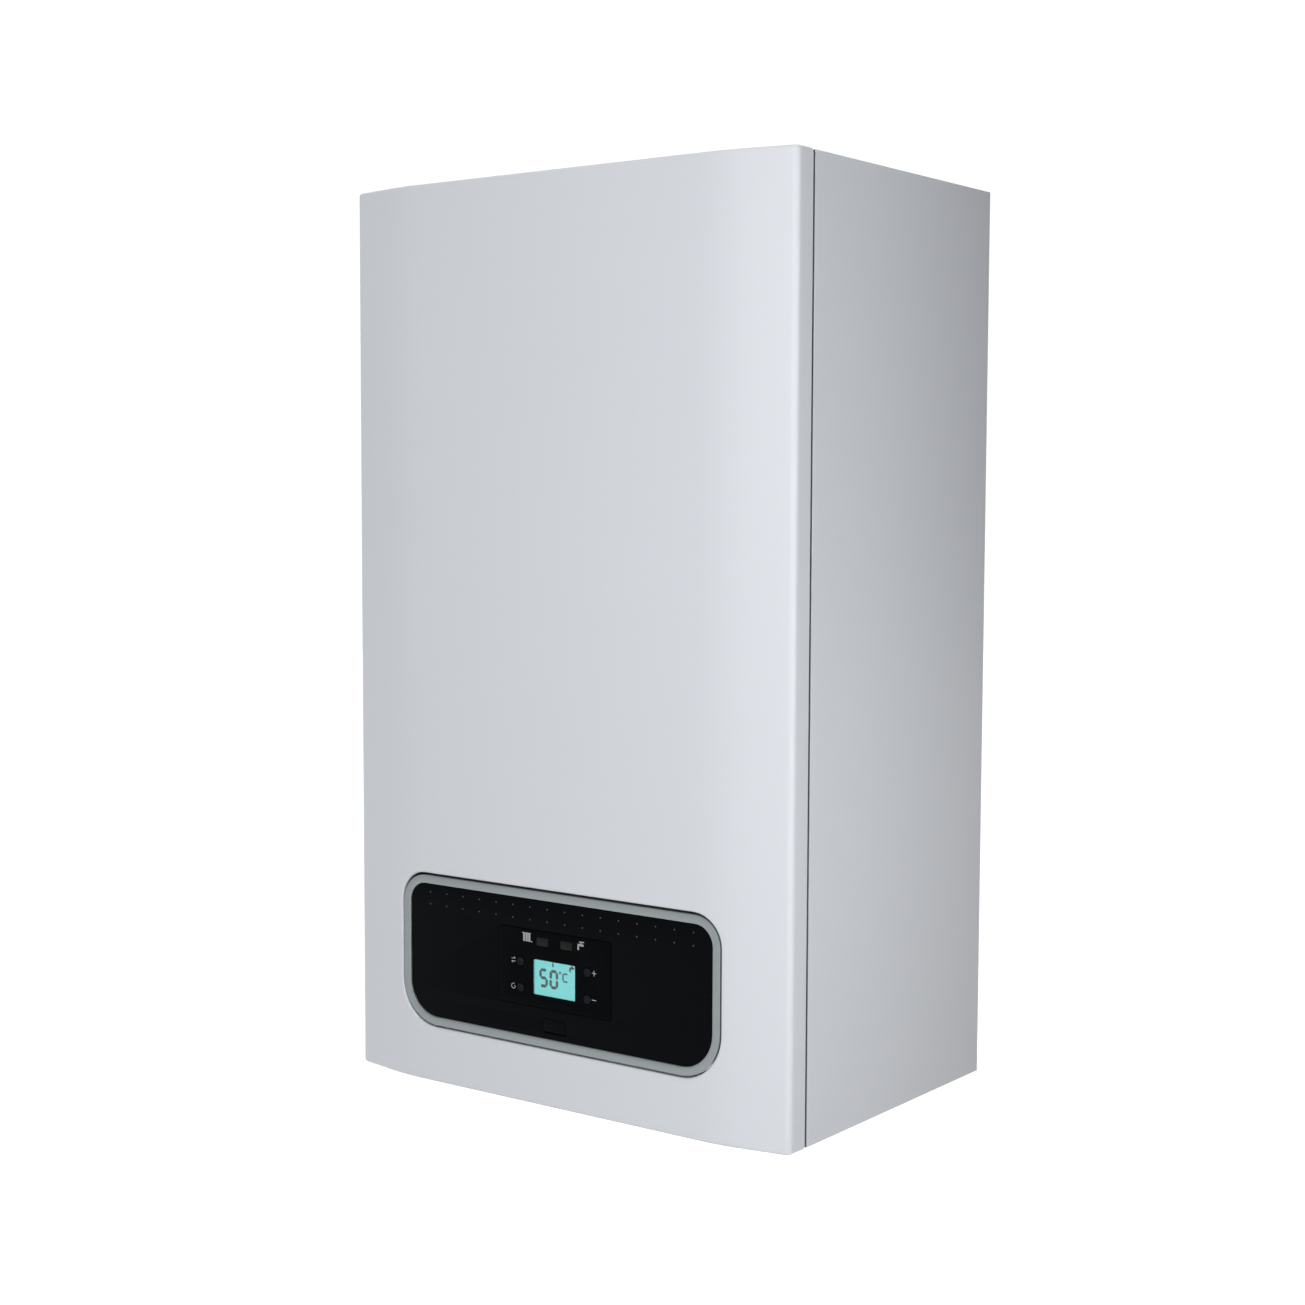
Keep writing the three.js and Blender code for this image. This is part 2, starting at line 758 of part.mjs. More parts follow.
function makeBottomTray() {
  const sheet = block([-innerHalf, innerHalf], [frameFront + FIT, trayFront], [TRAY.height, trayTop]);
  const front = block(
    [-innerHalf, innerHalf],
    [trayFront - TRAY.sheet, trayFront],
    [TRAY.height, TRAY.height + TRAY.frontLip],
  );
  const sides = bothSides((side) =>
    block(
      [side * innerHalf, side * (innerHalf - TRAY.sheet)],
      [FRAME.standOff + FRAME.sideFlange + 1, trayFront],
      [TRAY.height, TRAY.height + TRAY.sideLip],
    ),
  );
  const ears = bothSides((side) => {
    const span = [side * pivotX, side * (pivotX + PIVOT.ear)];
    const front = pivotDepth + PIVOT.lugHalf;
    const upright = block(span, [trayFront - TRAY.sheet, front], [PIVOT.z - 8, PIVOT.z + 8]);
    const pin = barX(
      [pivotDepth, PIVOT.z],
      [side * (pivotX - PIVOT.reach), side * (pivotX + 1)],
      PIVOT.radius,
      12,
    );
    return join(upright, pin);
  });
  const holes = [
    ...bothSides((side) => [side * returnX, TAILS.wideRadius + TAILS.play]),
    ...bothSides((side) => [side * coldX, TAILS.slimRadius + TAILS.play]),
    [0, GAS.radius + TAILS.play + 1],
    [fillX, FILL.stem + TAILS.play],
  ].map(([x, radius]) => trayHole(x, TAILS.depth, radius));
  holes.push(trayHole(flowX, reliefOutletDepth, RELIEF.outletRadius + 1));
  holes.push(trayHole(trapX, TRAP.depth, TRAP.neck + 1.5));
  holes.push(trayHole(GLAND.x, glandDepth, GLAND.radius + 0.6));
  const notches = bothSides((side) =>
    block(
      [side * (innerHalf - FRAME.sheet - FIT), side * (innerHalf + 1)],
      [frameFront - 1, FRAME.standOff + FRAME.sideFlange + FIT],
      [TRAY.height - 1, trayTop + 1],
    ),
  );
  part("bottom_tray", cut(join(sheet, front, ...sides, ...ears), ...holes, ...notches), GALVANISED);
}

function trayHole(x, depth, radius) {
  return barZ([x, depth], [TRAY.height - 1, trayTop + 1], radius, 12);
}

function makeCableGland() {
  const at = [GLAND.x, glandDepth];
  const body = barZ(at, [GLAND.low + 7, GLAND.high], GLAND.radius);
  const below = barZ(at, [GLAND.low, TRAY.height - FIT], GLAND.nutRadius + 1, 6);
  const above = barZ(at, [trayTop + FIT, GLAND.high - 1], GLAND.nutRadius, 6);
  const bore = barZ(at, [GLAND.low - 1, GLAND.high + 1], GLAND.bore, 12);
  part("cable_gland", cut(join(body, below, above), bore), DARK_PLASTIC);
}

// ---------------------------------------------------------------- cover

// Half of the cover's outline seen from above, moved inwards by the sheet's thickness.
function coverProfile(inward, back, corner = COVER.edgeRadius) {
  const slope = bevelSlope;
  const half = coverHalf - inward;
  const fillet = Math.max(corner - inward, 0.5);
  const bend = COVER.bendRadius;
  const bendBack = faceDepth - bend;
  const right = [];
  for (let i = 0; i <= 4; i++) {
    const turn = (slope * i) / 4;
    right.push(
      [coverFlat + (bend - inward) * Math.sin(turn), bendBack + (bend - inward) * Math.cos(turn)],
    );
  }
  const [bendX, bendDepth] = right[right.length - 1];
  const centreX = half - fillet;
  const centreDepth = bendDepth - (fillet + Math.sin(slope) * (centreX - bendX)) / Math.cos(slope);
  for (let i = 0; i <= 4; i++) {
    const turn = slope + ((Math.PI / 2 - slope) * i) / 4;
    right.push([centreX + fillet * Math.sin(turn), centreDepth + fillet * Math.cos(turn)]);
  }
  right.push([half, back]);
  const left = right.map(([x, depth]) => [-x, depth]).reverse();
  return new THREE.Shape([...right, ...left].map(([x, depth]) => new THREE.Vector2(x, -depth)));
}

// The outline of the control panel's rim, grown or shrunk all round.
function rimOutline(grow, top = grow, low = grow) {
  const half = RIM.width / 2 + grow;
  return roundedRectangle(
    [-half, half],
    [RIM.low - low, RIM.low + RIM.height + top],
    RIM.topRadius + grow,
    RIM.bottomRadius + grow,
  );
}

function windowOutline(grow = 0) {
  return rimOutline(WINDOW.side + grow, WINDOW.top + grow);
}

function makeFrontCover() {
  const sheet = COVER.sheet;
  const outside = plateZ(coverProfile(0, coverBack), [0, CASE.height]);
  const hollow = plateZ(coverProfile(sheet, coverBack + sheet), [sheet, CASE.height - sheet]);
  const opening = block(
    [COVER.rearLip - coverHalf, coverHalf - COVER.rearLip],
    [coverBack - 1, coverBack + 2 * sheet],
    [COVER.bottomLip, CASE.height - COVER.rearLip],
  );
  const lipDepths = [faceDepth - COVER.windowLip - sheet, faceDepth + 1];
  const lip = plateD(windowOutline(sheet), lipDepths, 5).intersect(outside);
  const window = plateD(windowOutline(), [coverBack + 5, faceDepth + 1], 5);
  const studs = studHeights.flatMap((z) =>
    bothSides((side) =>
      barD([side * studX, z], [coverBack - STUD.reach, coverBack + sheet / 2], STUD.radius, 12),
    ),
  );
  const shell = cut(outside, hollow, opening);
  part("front_cover", join(cut(join(shell, lip), window), ...studs), WHITE_PAINT);
}

function makeCoverPad() {
  const front = faceDepth - COVER.sheet - FIT;
  const half = coverFlat - PAD.margin;
  part(
    "cover_foam_pad",
    block([-half, half], [front - PAD.thick, front], [PAD.low, CASE.height - PAD.drop]),
    FOAM,
  );
}

function makeCoverSeal() {
  const depths = [CASE.depth + FIT, coverBack - FIT];
  const outer = coverHalf - SEAL.inset;
  const high = caseTop - SEAL.drop;
  const runs = bothSides((side) => block(
    [side * outer, side * (outer - SEAL.width)],
    depths,
    [SEAL.low, high],
  ));
  const top = block([-outer, outer], depths, [high - SEAL.width, high]);
  part("cover_seal", join(...runs, top), SOFT_RUBBER);
}

// ---------------------------------------------------------------- control box

const keyPlaces = {
  mode_button: [-KEY.spread / 2, KEY.top],
  reset_button: [-KEY.spread / 2, KEY.bottom],
  plus_button: [KEY.spread / 2, KEY.top],
  minus_button: [KEY.spread / 2, KEY.bottom],
};
const screenSpan = [SCREEN.z - SCREEN.height / 2, SCREEN.z + SCREEN.height / 2];
const flapAxis = { depth: fasciaFront - FLAP.axisBack, z: FLAP.low + FLAP.barrel };

// The openings for the screen, the lamps and the buttons, each with its own play.
function controlOpenings(depths, play) {
  const half = SCREEN.width / 2 + play;
  const screen = block([-half, half], depths, [screenSpan[0] - play, screenSpan[1] + play]);
  const lamps = bothSides((side) => lampBlock(side, depths, play / 2));
  const keys = Object.values(keyPlaces).map((place) => barD(place, depths, KEY.radius + FIT, 12));
  return [screen, ...lamps, ...keys];
}

function lampBlock(side, depths, grow) {
  const x = (side * LAMP.spread) / 2;
  return block(
    [x - LAMP.width / 2 - grow, x + LAMP.width / 2 + grow],
    depths,
    [LAMP.z - LAMP.height / 2 - grow, LAMP.z + LAMP.height / 2 + grow],
  );
}

function makeControlHousing() {
  const half = TUB.width / 2;
  const wall = TUB.wall;
  const box = block([-half, half], [tubBack, tubFront], [TUB.low, TUB.high]);
  const hollow = block(
    [wall - half, half - wall],
    [tubBack + wall, tubFront + 1],
    [TUB.low + wall, TUB.high - wall],
  );
  const lugs = bothSides((side) =>
    block(
      [side * (half - wall), side * (half + PIVOT.lug)],
      [pivotDepth - PIVOT.lugHalf, pivotDepth + PIVOT.lugHalf],
      [PIVOT.z - PIVOT.lugHalf + 0.5, TUB.low + 21],
    ),
  );
  const bores = bothSides((side) =>
    barX(
      [pivotDepth, PIVOT.z],
      [side * (half - wall - 1), side * (half + PIVOT.lug + 1)],
      PIVOT.radius + FIT,
      12,
    ),
  );
  const posts = boardPosts().map((place) =>
    barD(place, [tubBack + wall / 2, boardBack - FIT], BOARD.postRadius, 8),
  );
  const tub = join(cut(join(box, ...lugs), hollow), ...posts);
  part("control_housing", cut(tub, ...bores), DARK_PLASTIC);
}

function boardPosts() {
  const x = BOARD.width / 2 - BOARD.postInset;
  return [BOARD.low + BOARD.postInset, BOARD.high - BOARD.postInset].flatMap((z) => [
    [-x, z],
    [x, z],
  ]);
}

function makeControlFascia() {
  const flange = plateD(rimOutline(-FASCIA.inset), [fasciaBack, flangeFront], 4);
  const bossInset = RIM.band + FIT;
  const boss = plateD(rimOutline(-bossInset), [flangeFront, fasciaFront], 5);
  const hollow = plateD(rimOutline(-bossInset - FASCIA.plate), [fasciaBack - 1, plateBack], 4);
  const pocketDepths = [fasciaFront + OVERLAY.proud - OVERLAY.thick - FIT, fasciaFront + 1];
  const pocket = plateD(overlayOutline(FIT), pocketDepths, 2);
  const through = [plateBack - 1, fasciaFront + 1];
  const flapHalf = FLAP.width / 2 + FIT;
  const flapHole = block([-flapHalf, flapHalf], through, [FLAP.low - FLAP.play, FLAP.high + FIT]);
  const pinHalf = FLAP.width / 2 + 1.6;
  const pinBore = barX([flapAxis.depth, flapAxis.z], [-pinHalf, pinHalf], FLAP.pin + FIT, 8);
  const plate = cut(
    join(flange, boss),
    hollow,
    pocket,
    flapHole,
    pinBore,
    ...controlOpenings(through, FIT),
  );
  part("control_fascia", plate, BLACK_PLASTIC);
}

function makeFasciaRim() {
  const ring = plateD(rimOutline(0), [flangeFront + FIT, rimFront], 5);
  const inside = plateD(rimOutline(-RIM.band), [flangeFront, rimFront + 1], 5);
  part("fascia_rim", cut(ring, inside), SILVER_PLASTIC);
}

function overlayOutline(grow) {
  const half = OVERLAY.width / 2 + grow;
  return roundedRectangle([-half, half], [OVERLAY.low - grow, OVERLAY.high + grow], OVERLAY.radius);
}

function makeControlOverlay() {
  const front = fasciaFront + OVERLAY.proud;
  const sheet = plateD(overlayOutline(0), [front - OVERLAY.thick, front], 2);
  part("control_overlay", cut(sheet, ...controlOpenings([front - 2, front + 1], FIT / 2)), GLOSS_BLACK);
}

function makeLcdModule() {
  const half = SCREEN.caseWidth / 2;
  const body = block(
    [-half, half],
    [boardFront + FIT, plateBack - FIT],
    [SCREEN.z - SCREEN.caseHeight / 2, SCREEN.z + SCREEN.caseHeight / 2],
  );
  const glassHalf = SCREEN.width / 2 - FIT;
  const glass = block([-glassHalf, glassHalf], [boardFront + 5, fasciaFront - SCREEN.glass - 0.2], [
    screenSpan[0] + FIT,
    screenSpan[1] - FIT,
  ]);
  part("lcd_module", join(body, glass), GREY_PLASTIC);
}

function makeLcdLens() {
  const half = SCREEN.width / 2 - FIT;
  const front = fasciaFront + OVERLAY.proud;
  part(
    "lcd_lens",
    block([-half, half], [front - SCREEN.glass, front], [screenSpan[0] + FIT, screenSpan[1] - FIT]),
    CLEAR_GLASS,
  );
}

function makeControlPcb() {
  const half = BOARD.width / 2;
  const board = block([-half, half], [boardBack, boardFront], [BOARD.low, BOARD.high]);
  const switches = Object.values(keyPlaces).map(([x, z]) =>
    block([x - 3, x + 3], [boardBack + 1, boardFront + BOARD.switchRise], [z - 3, z + 3]),
  );
  const behind = [
    [60, 95, 66, 104, 24], // transformer
    [-94, -68, 70, 84, 16], // relays
    [-94, -68, 90, 104, 16],
    [-50, 10, 120, 130, 11], // connector row
    [28, 48, 112, 140, 9],
  ].map(([left, right, low, high, rise]) =>
    block([left, right], [boardBack - rise, boardBack + 1], [low, high]),
  );
  const capacitors = [-52, -34].map((x) => barD([x, 78], [boardBack - 20, boardBack + 1], 7, 12));
  part("control_pcb", join(board, ...switches, ...behind, ...capacitors), CIRCUIT_GREEN);
}

function makeLightGuide() {
  const reach = LAMP.spread / 2 + LAMP.width / 2 - FIT;
  const bar = block(
    [-reach, reach],
    [fasciaBack, plateBack - FIT],
    [LAMP.z - LAMP.bar / 2, LAMP.z + LAMP.bar / 2],
  );
  const prisms = bothSides((side) => lampBlock(side, [plateBack - 2 * FIT, fasciaFront - 0.1], -FIT));
  part("indicator_light_guide", join(bar, ...prisms), LIGHT_PIPE);
}

function makeButtons() {
  const collarFront = plateBack - FIT;
  const collarBack = collarFront - KEY.collarThick;
  const switchFront = boardFront + BOARD.switchRise;
  Object.entries(keyPlaces).forEach(([name, place]) => {
    const cap = barD(place, [collarBack, fasciaFront + KEY.proud], KEY.radius, 12);
    const collar = barD(place, [collarBack, collarFront], KEY.collar, 12);
    const stem = barD(place, [switchFront + KEY.travel + FIT, collarBack + 1], KEY.stem, 8);
    part(name, join(cap, collar, stem), GREY_PLASTIC);
  });
}

function makePortFlap() {
  const half = FLAP.width / 2;
  const front = fasciaFront - 0.1;
  const plate = block([-half, half], [front - FLAP.plate, front], [flapAxis.z, FLAP.high]);
  const barrel = barX([flapAxis.depth, flapAxis.z], [-half, half], FLAP.barrel, 12);
  const pins = barX([flapAxis.depth, flapAxis.z], [-half - 1.2, half + 1.2], FLAP.pin, 8);
  part("service_port_flap", join(plate, barrel, pins), BLACK_PLASTIC);
}

// ---------------------------------------------------------------- burner and heat exchanger

function makeHeatExchangerShell() {
  const middle = [0, shellZ];
  const inner = SHELL.radius - SHELL.wall;
  const drum = turnedD(middle, [
    [0, shellBack],
    [SHELL.radius, shellBack],
    [SHELL.radius, shellFront - SHELL.rimThick],
    [shellRim, shellFront - SHELL.rimThick],
    [shellRim, shellFront],
    [0, shellFront],
  ], SHELL.sides);
  const stub = barZ([0, exhaustDepth], [shellZ + 80, exhaustTop], EXHAUST.radius);
  const bossRoot = SHELL.radius - WATERWAY.root;
  const bosses = [
    barX([waterDepth, flowZ], [-waterReach, -bossRoot], WATERWAY.bossRadius),
    barX([waterDepth, returnZ], [bossRoot, waterReach], WATERWAY.bossRadius),
  ];
  const drainSpan = [shellUnder, shellUnder + 20];
  const drain = barZ([CONDENSATE.x, waterDepth], drainSpan, CONDENSATE.radius + 2);
  const cavity = turnedD(middle, [
    [0, shellBack + SHELL.backWall],
    [inner, shellBack + SHELL.backWall],
    [inner, shellFront + 1],
    [0, shellFront + 1],
  ], SHELL.sides);
  const bores = [
    barZ([0, exhaustDepth], [shellZ + 80, exhaustTop + 1], EXHAUST.bore),
    barZ([CONDENSATE.x, waterDepth], [drainSpan[0] - 1, drainSpan[1]], CONDENSATE.radius - 2.5),
    barX([waterDepth, flowZ], [-waterReach - 1, WATERWAY.bore - waterReach], WATERWAY.radius - 1.5),
    barX([waterDepth, returnZ], [waterReach - WATERWAY.bore, waterReach + 1], WATERWAY.radius - 1.5),
  ];
  part("heat_exchanger_shell", cut(join(drum, stub, ...bosses, drain), cavity, ...bores), STAINLESS);
}

function makeHeatExchangerCoil() {
  const outer = SHELL.radius - SHELL.wall - FIT;
  const back = shellBack + SHELL.backWall + COIL.margin;
  const front = shellFront - COIL.margin;
  const pitch = (front - back) / COIL.ribs;
  const profile = [[COIL.inner, back]];
  for (let i = 0; i < COIL.ribs; i++) {
    profile.push([outer - COIL.groove, back + i * pitch]);
    profile.push([outer, back + (i + 0.25) * pitch]);
    profile.push([outer, back + (i + 0.75) * pitch]);
  }
  profile.push([outer - COIL.groove, front], [COIL.inner, front], [COIL.inner, back]);
  part("heat_exchanger_coil", turnedD([0, shellZ], profile, SHELL.sides), STAINLESS);
}

const electrodeAt = [ELECTRODE.x, shellZ - ELECTRODE.drop];
const raisedFront = doorFront + DOOR.raised;
const plugBack = doorBack - DOOR.plugDepth;

function makeBurnerDoor() {
  const middle = [0, shellZ];
  const disc = barD(middle, [doorBack, doorFront], shellRim, SHELL.sides);
  const raised = barD(middle, [doorBack, raisedFront], DOOR.plugRadius);
  const plug = barD(middle, [plugBack, doorFront], DOOR.plugRadius);
  const nuts = Array.from({ length: DOOR.nuts }, (_, i) => {
    const angle = (2 * Math.PI * (i + 0.5)) / DOOR.nuts;
    const reach = shellRim - DOOR.nutRadius - 2.5;
    const place = [reach * Math.cos(angle), shellZ + reach * Math.sin(angle)];
    return join(
      barD(place, [doorFront - 1, doorFront + 5], DOOR.nutRadius, 6),
      barD(place, [doorFront - 1, doorFront + 8], 2.5, 6),
    );
  });
  const through = [plugBack - 1, raisedFront + 1];
  const burnerBore = barD(middle, through, DOOR.burnerBore);
  const electrodeBore = barD(electrodeAt, through, ELECTRODE.radius + 0.5);
  part(
    "burner_door",
    cut(join(disc, raised, plug, ...nuts), burnerBore, electrodeBore),
    CAST_ALUMINIUM,
  );
}

function makeBurner() {
  const front = plugBack - FIT;
  const back = front - BURNER.length;
  const inner = BURNER.radius - BURNER.wall;
  const shell = turnedD([0, shellZ], [
    [0, back],
    [BURNER.radius, back],
    [BURNER.radius, front - 2],
    [BURNER.flange, front - 2],
    [BURNER.flange, front],
    [inner, front],
    [inner, back + BURNER.wall],
    [0, back + BURNER.wall],
  ], 24);
  const slots = Array.from({ length: BURNER.holes }, (_, i) => {
    const angle = (2 * Math.PI * i) / BURNER.holes;
    const reach = BURNER.radius - BURNER.wall / 2;
    const place = [reach * Math.cos(angle), shellZ + reach * Math.sin(angle)];
    return barD(place, [back + 12, front - 14], 2.5, 6);
  });
  part("burner", cut(shell, ...slots), STAINLESS);
}

function makeIgnitionElectrode() {
  const front = doorFront + ELECTRODE.reach;
  const body = barD(electrodeAt, [plugBack, front - 8], ELECTRODE.radius);
  const flange = barD(electrodeAt, [raisedFront + FIT, raisedFront + 4], ELECTRODE.flange, 6);
  const wire = barD(electrodeAt, [doorFront - ELECTRODE.tip, front], ELECTRODE.wire, 8);
  part("ignition_electrode", join(body, flange, wire), CERAMIC);
}

function makeIgnitionUnit() {
  const body = block([sparkLeft, innerHalf], [sparkBack, sparkFront], [sparkLow, sparkHigh]);
  const socket = barZ(
    [sparkLeft + 15, (sparkBack + sparkFront) / 2],
    [sparkHigh - 1, sparkHigh + 12],
    6,
  );
  const plugLow = sparkLow + SPARK.plugRise;
  const plug = block(
    [sparkLeft - 8, sparkLeft + 1],
    [sparkBack + 8, sparkFront - 8],
    [plugLow, plugLow + SPARK.plug],
  );
  part("ignition_unit", join(body, socket, plug), DARK_PLASTIC);
}

function makeExchangerStrap() {
  const reach = innerHalf - STRAP.tabThick;
  const heights = [shellZ - STRAP.height / 2, shellZ + STRAP.height / 2];
  const bar = block([-reach, reach], [strapBack, strapFront], heights);
  const tabs = bothSides((side) =>
    block([side * (reach - 1), side * innerHalf], [strapFront - STRAP.tab, strapFront], heights),
  );
  part("exchanger_bracket", join(bar, ...tabs), GALVANISED);
}

// ---------------------------------------------------------------- fan, mixer and ducts

const outletTop = shellZ - SHELL.radius + 1.7;

function makeFanHousing() {
  const middle = [FAN.x, fanZ];
  const half = FAN.outletWidth / 2;
  const drum = barD(middle, [fanBack, fanFront], FAN.radius, 28);
  const deep = FAN.outletDepth / 2;
  const duct = block(
    [ductX - half, ductX + half],
    [fanMiddle - deep, fanMiddle + deep],
    [fanZ, outletTop],
  );
  const chamber = barD(middle, [fanBack + FAN.wall, fanFront - FAN.wall], FAN.chamber, 28);
  const channel = block(
    [ductX - half + FAN.wall, ductX + half - FAN.wall],
    [fanMiddle - deep + FAN.wall, fanMiddle + deep - FAN.wall],
    [fanZ + 20, outletTop + 1],
  );
  const inlet = barD(middle, [fanFront - FAN.wall - 1, fanFront + 1], FAN.inlet, 24);
  const shaftHole = barD(middle, [fanBack - 1, fanBack + FAN.wall + 1], FAN.shaft + 1.5, 12);
  part("fan_housing", cut(join(drum, duct), chamber, channel, inlet, shaftHole), CAST_ALUMINIUM);
}

function makeFanMotor() {
  const middle = [FAN.x, fanZ];
  const front = fanBack - FIT;
  const body = turnedD(middle, [
    [0, fanMotorBack],
    [FAN.motorRadius - 5, fanMotorBack],
    [FAN.motorRadius, fanMotorBack + 5],
    [FAN.motorRadius, front],
    [0, front],
  ], 24);
  const plug = block([FAN.x + 30, FAN.x + 56], [fanMotorBack + 10, front], [fanZ - 9, fanZ + 9]);
  const bore = barD(middle, [front - 17, front + 1], FAN.shaft + 0.4, 12);
  part("fan_motor", cut(join(body, plug), bore), DARK_PLASTIC);
}

function makeFanImpeller() {
  const middle = [FAN.x, fanZ];
  const back = fanBack + FAN.wall + 3;
  const disc = barD(middle, [back, back + 2], FAN.wheel, 20);
  const shaft = barD(middle, [fanBack - 15, back + 1], FAN.shaft, 12);
  const hub = barD(middle, [back, back + 12], 10, 12);
  const ring = cut(
    barD(middle, [fanFront - 13, fanFront - 11], FAN.wheel, 20),
    barD(middle, [fanFront - 14, fanFront - 10], FAN.inlet + 4, 20),
  );
  const blades = Array.from({ length: FAN.blades }, (_, i) => {
    const blade = new THREE.BoxGeometry(FAN.wheel - FAN.inlet - 6, fanFront - 12 - back, 1.6);
    blade.translate((FAN.wheel + FAN.inlet + 4) / 2, -(fanFront - 12 + back) / 2, -9);
    blade.rotateY((2 * Math.PI * i) / FAN.blades);
    blade.translate(FAN.x, 0, fanZ);
    return solid(blade);
  });
  part("fan_impeller", join(disc, shaft, hub, ring, ...blades), DARK_PLASTIC);
}

function makeGasMixer() {
  const middle = [FAN.x, fanZ];
  const back = mixerBack;
  const ring = turnedD(middle, [
    [MIXER.bore, back],
    [MIXER.radius, back],
    [MIXER.radius, back + 6],
    [MIXER.radius - 5, back + 9],
    [MIXER.radius - 5, mixerFront],
    [MIXER.bore + 4, mixerFront],
    [MIXER.bore - 4, (back + mixerFront) / 2],
    [MIXER.bore, back],
  ], 24);
  const port = barX([mixerPortDepth, fanZ], [FAN.x + MIXER.radius - 10, portEnd], MIXER.portRadius);
  const bore = barX([mixerPortDepth, fanZ], [portEnd - 8, portEnd + 1], GAS.radius - 2.5);
  part("gas_mixer", cut(join(ring, port), bore), CAST_ALUMINIUM);
}

function makeAirIntakeDuct() {
  const back = mixerFront + FIT;
  const mouth = [FAN.x, intakeDepth];
  const corners = [[FAN.x, back, fanZ], [FAN.x, intakeDepth, fanZ], [...mouth, intakeTop - 4]];
  const tube = pipe(corners, INTAKE.radius, INTAKE.bend, 12);
  const flange = barD([FAN.x, fanZ], [back, back + 3.5], INTAKE.flange, 16);
  const bell = turnedZ(mouth, [
    [0, intakeTop - INTAKE.bellHeight],
    [INTAKE.radius - 2, intakeTop - INTAKE.bellHeight],
    [INTAKE.bell, intakeTop],
    [0, intakeTop],
  ], 16);
  const bore = barZ(mouth, [intakeTop - 60, intakeTop + 1], INTAKE.radius - 3, 12);
  part("air_intake_duct", cut(join(tube, flange, bell), bore), DARK_PLASTIC);
}

function makePremixDuct() {
  const start = outletTop + FIT;
  const corners = [
    [ductX, fanMiddle, start],
    [ductX, fanMiddle, shellZ],
    [ductX, premixDepth, shellZ],
    [-10, premixDepth, shellZ],
  ];
  const seat = raisedFront + FIT;
  const tube = pipe(corners, PREMIX.radius, PREMIX.bend, 10);
  const head = barD([0, shellZ], [seat, premixDepth + PREMIX.radius], PREMIX.head, 24);
  const flange = barD([0, shellZ], [seat, seat + 4], PREMIX.flange, 24);
  const foot = barZ([ductX, fanMiddle], [start, start + 4], PREMIX.radius + 2, 16);
  const bores = [
    barD([0, shellZ], [seat - 1, premixDepth + 6], DOOR.burnerBore),
    barZ([ductX, fanMiddle], [start - 1, start + 40], PREMIX.radius - PREMIX.wall, 12),
  ];
  part("premix_duct", cut(join(tube, head, flange, foot), ...bores), CAST_ALUMINIUM);
}

// ---------------------------------------------------------------- gas valve and gas pipes

function makeGasValve() {
  const body = block([VALVE.left, valveRight], [valveBack, valveFront], [valveLow, valveHigh]);
  const x = (VALVE.left + valveRight) / 2;
  const coils = [valveLow + 24, valveHigh - 22].map((z) =>
    barD([x, z], [valveFront - 1, valveFront + VALVE.coilReach], VALVE.coilRadius, 16),
  );
  const plug = block(
    [x - 14, x + 14],
    [valveFront - 30, valveFront - 8],
    [valveHigh - 1, valveHigh + 12],
  );
  part("gas_valve", join(body, ...coils, plug), CAST_ALUMINIUM);
}

function makeGasLinkPipe() {
  const ends = [portEnd + FIT, VALVE.left - FIT];
  const at = [mixerPortDepth, fanZ];
  const tube = barX(at, ends, GAS.radius - 1, 12);
  const nuts = [
    barX(at, [ends[0], ends[0] + GAS.linkNut], GAS.nutRadius, 6),
    barX(at, [ends[1] - GAS.linkNut, ends[1]], GAS.nutRadius, 6),
  ];
  const bores = [
    barX(at, [ends[0] - 1, ends[1] + 1], GAS.radius - 3, 12),
  ];
  part("gas_link_pipe", cut(join(tube, ...nuts), ...bores), BRASS);
}

function makeGasPipe() {
  const inletX = (VALVE.left + valveRight) / 2;
  const inletDepth = (valveBack + valveFront) / 2;
  const top = valveLow - FIT;
  const corners = [
    [0, TAILS.depth, TAILS.end],
    [0, TAILS.depth, valveLow - GAS.swanLow],
    [inletX, inletDepth, valveLow - GAS.swanHigh],
    [inletX, inletDepth, top],
  ];
  const tube = pipe(corners, GAS.radius);
  const collar = barZ([0, TAILS.depth], [trayTop + FIT, trayTop + 4], GAS.radius + 7, 16);
  const nut = barZ([0, TAILS.depth], [TAILS.end + 4, TAILS.end + 4 + TAILS.nut], GAS.nutRadius, 6);
  const topNut = barZ([inletX, inletDepth], [top - GAS.nut, top], GAS.nutRadius, 6);
  const bore = barZ([0, TAILS.depth], [TAILS.end - 1, TAILS.end + GAS.socket], GAS.radius - 2, 12);
  part("gas_pipe", cut(join(tube, collar, nut, topNut), bore), COPPER);
}

// ---------------------------------------------------------------- flue

function makeFlueSpigot() {
  const at = [0, exhaustDepth];
  const seat = exhaustTop + FIT;
  const inner = EXHAUST.spigotRadius - EXHAUST.spigotWall;
  const tube = turnedZ(at, [
    [inner, seat],
    [EXHAUST.spigotRadius + 6, seat],
    [EXHAUST.spigotRadius + 6, seat + 4],
    [EXHAUST.spigotRadius, seat + 4],
    [EXHAUST.spigotRadius, spigotTop],
    [inner, spigotTop],
    [inner, seat],
  ], 24);
  part("flue_spigot", tube, STAINLESS);
}

function makeFlueCollar() {
  const seat = caseTop + FIT;
  const low = caseTop - COLLAR.skirt;
  const ring = turnedZ([0, exhaustDepth], [
    [COLLAR.bore, low],
    [COLLAR.radius, low],
    [COLLAR.radius, seat],
    [COLLAR.flange, seat],
    [COLLAR.flange, seat + COLLAR.thick],
    [COLLAR.radius, seat + COLLAR.thick],
    [COLLAR.radius, collarTop],
    [COLLAR.bore, collarTop],
    [COLLAR.bore, low],
  ], 28);
  part("flue_collar", ring, DARK_PLASTIC);
}

// ---------------------------------------------------------------- expansion vessel and its pipe

const vesselNeck = [VESSEL.neckX, vesselMiddle];
const neckUnder = vesselZ - VESSEL.radius - VESSEL.neckLength;

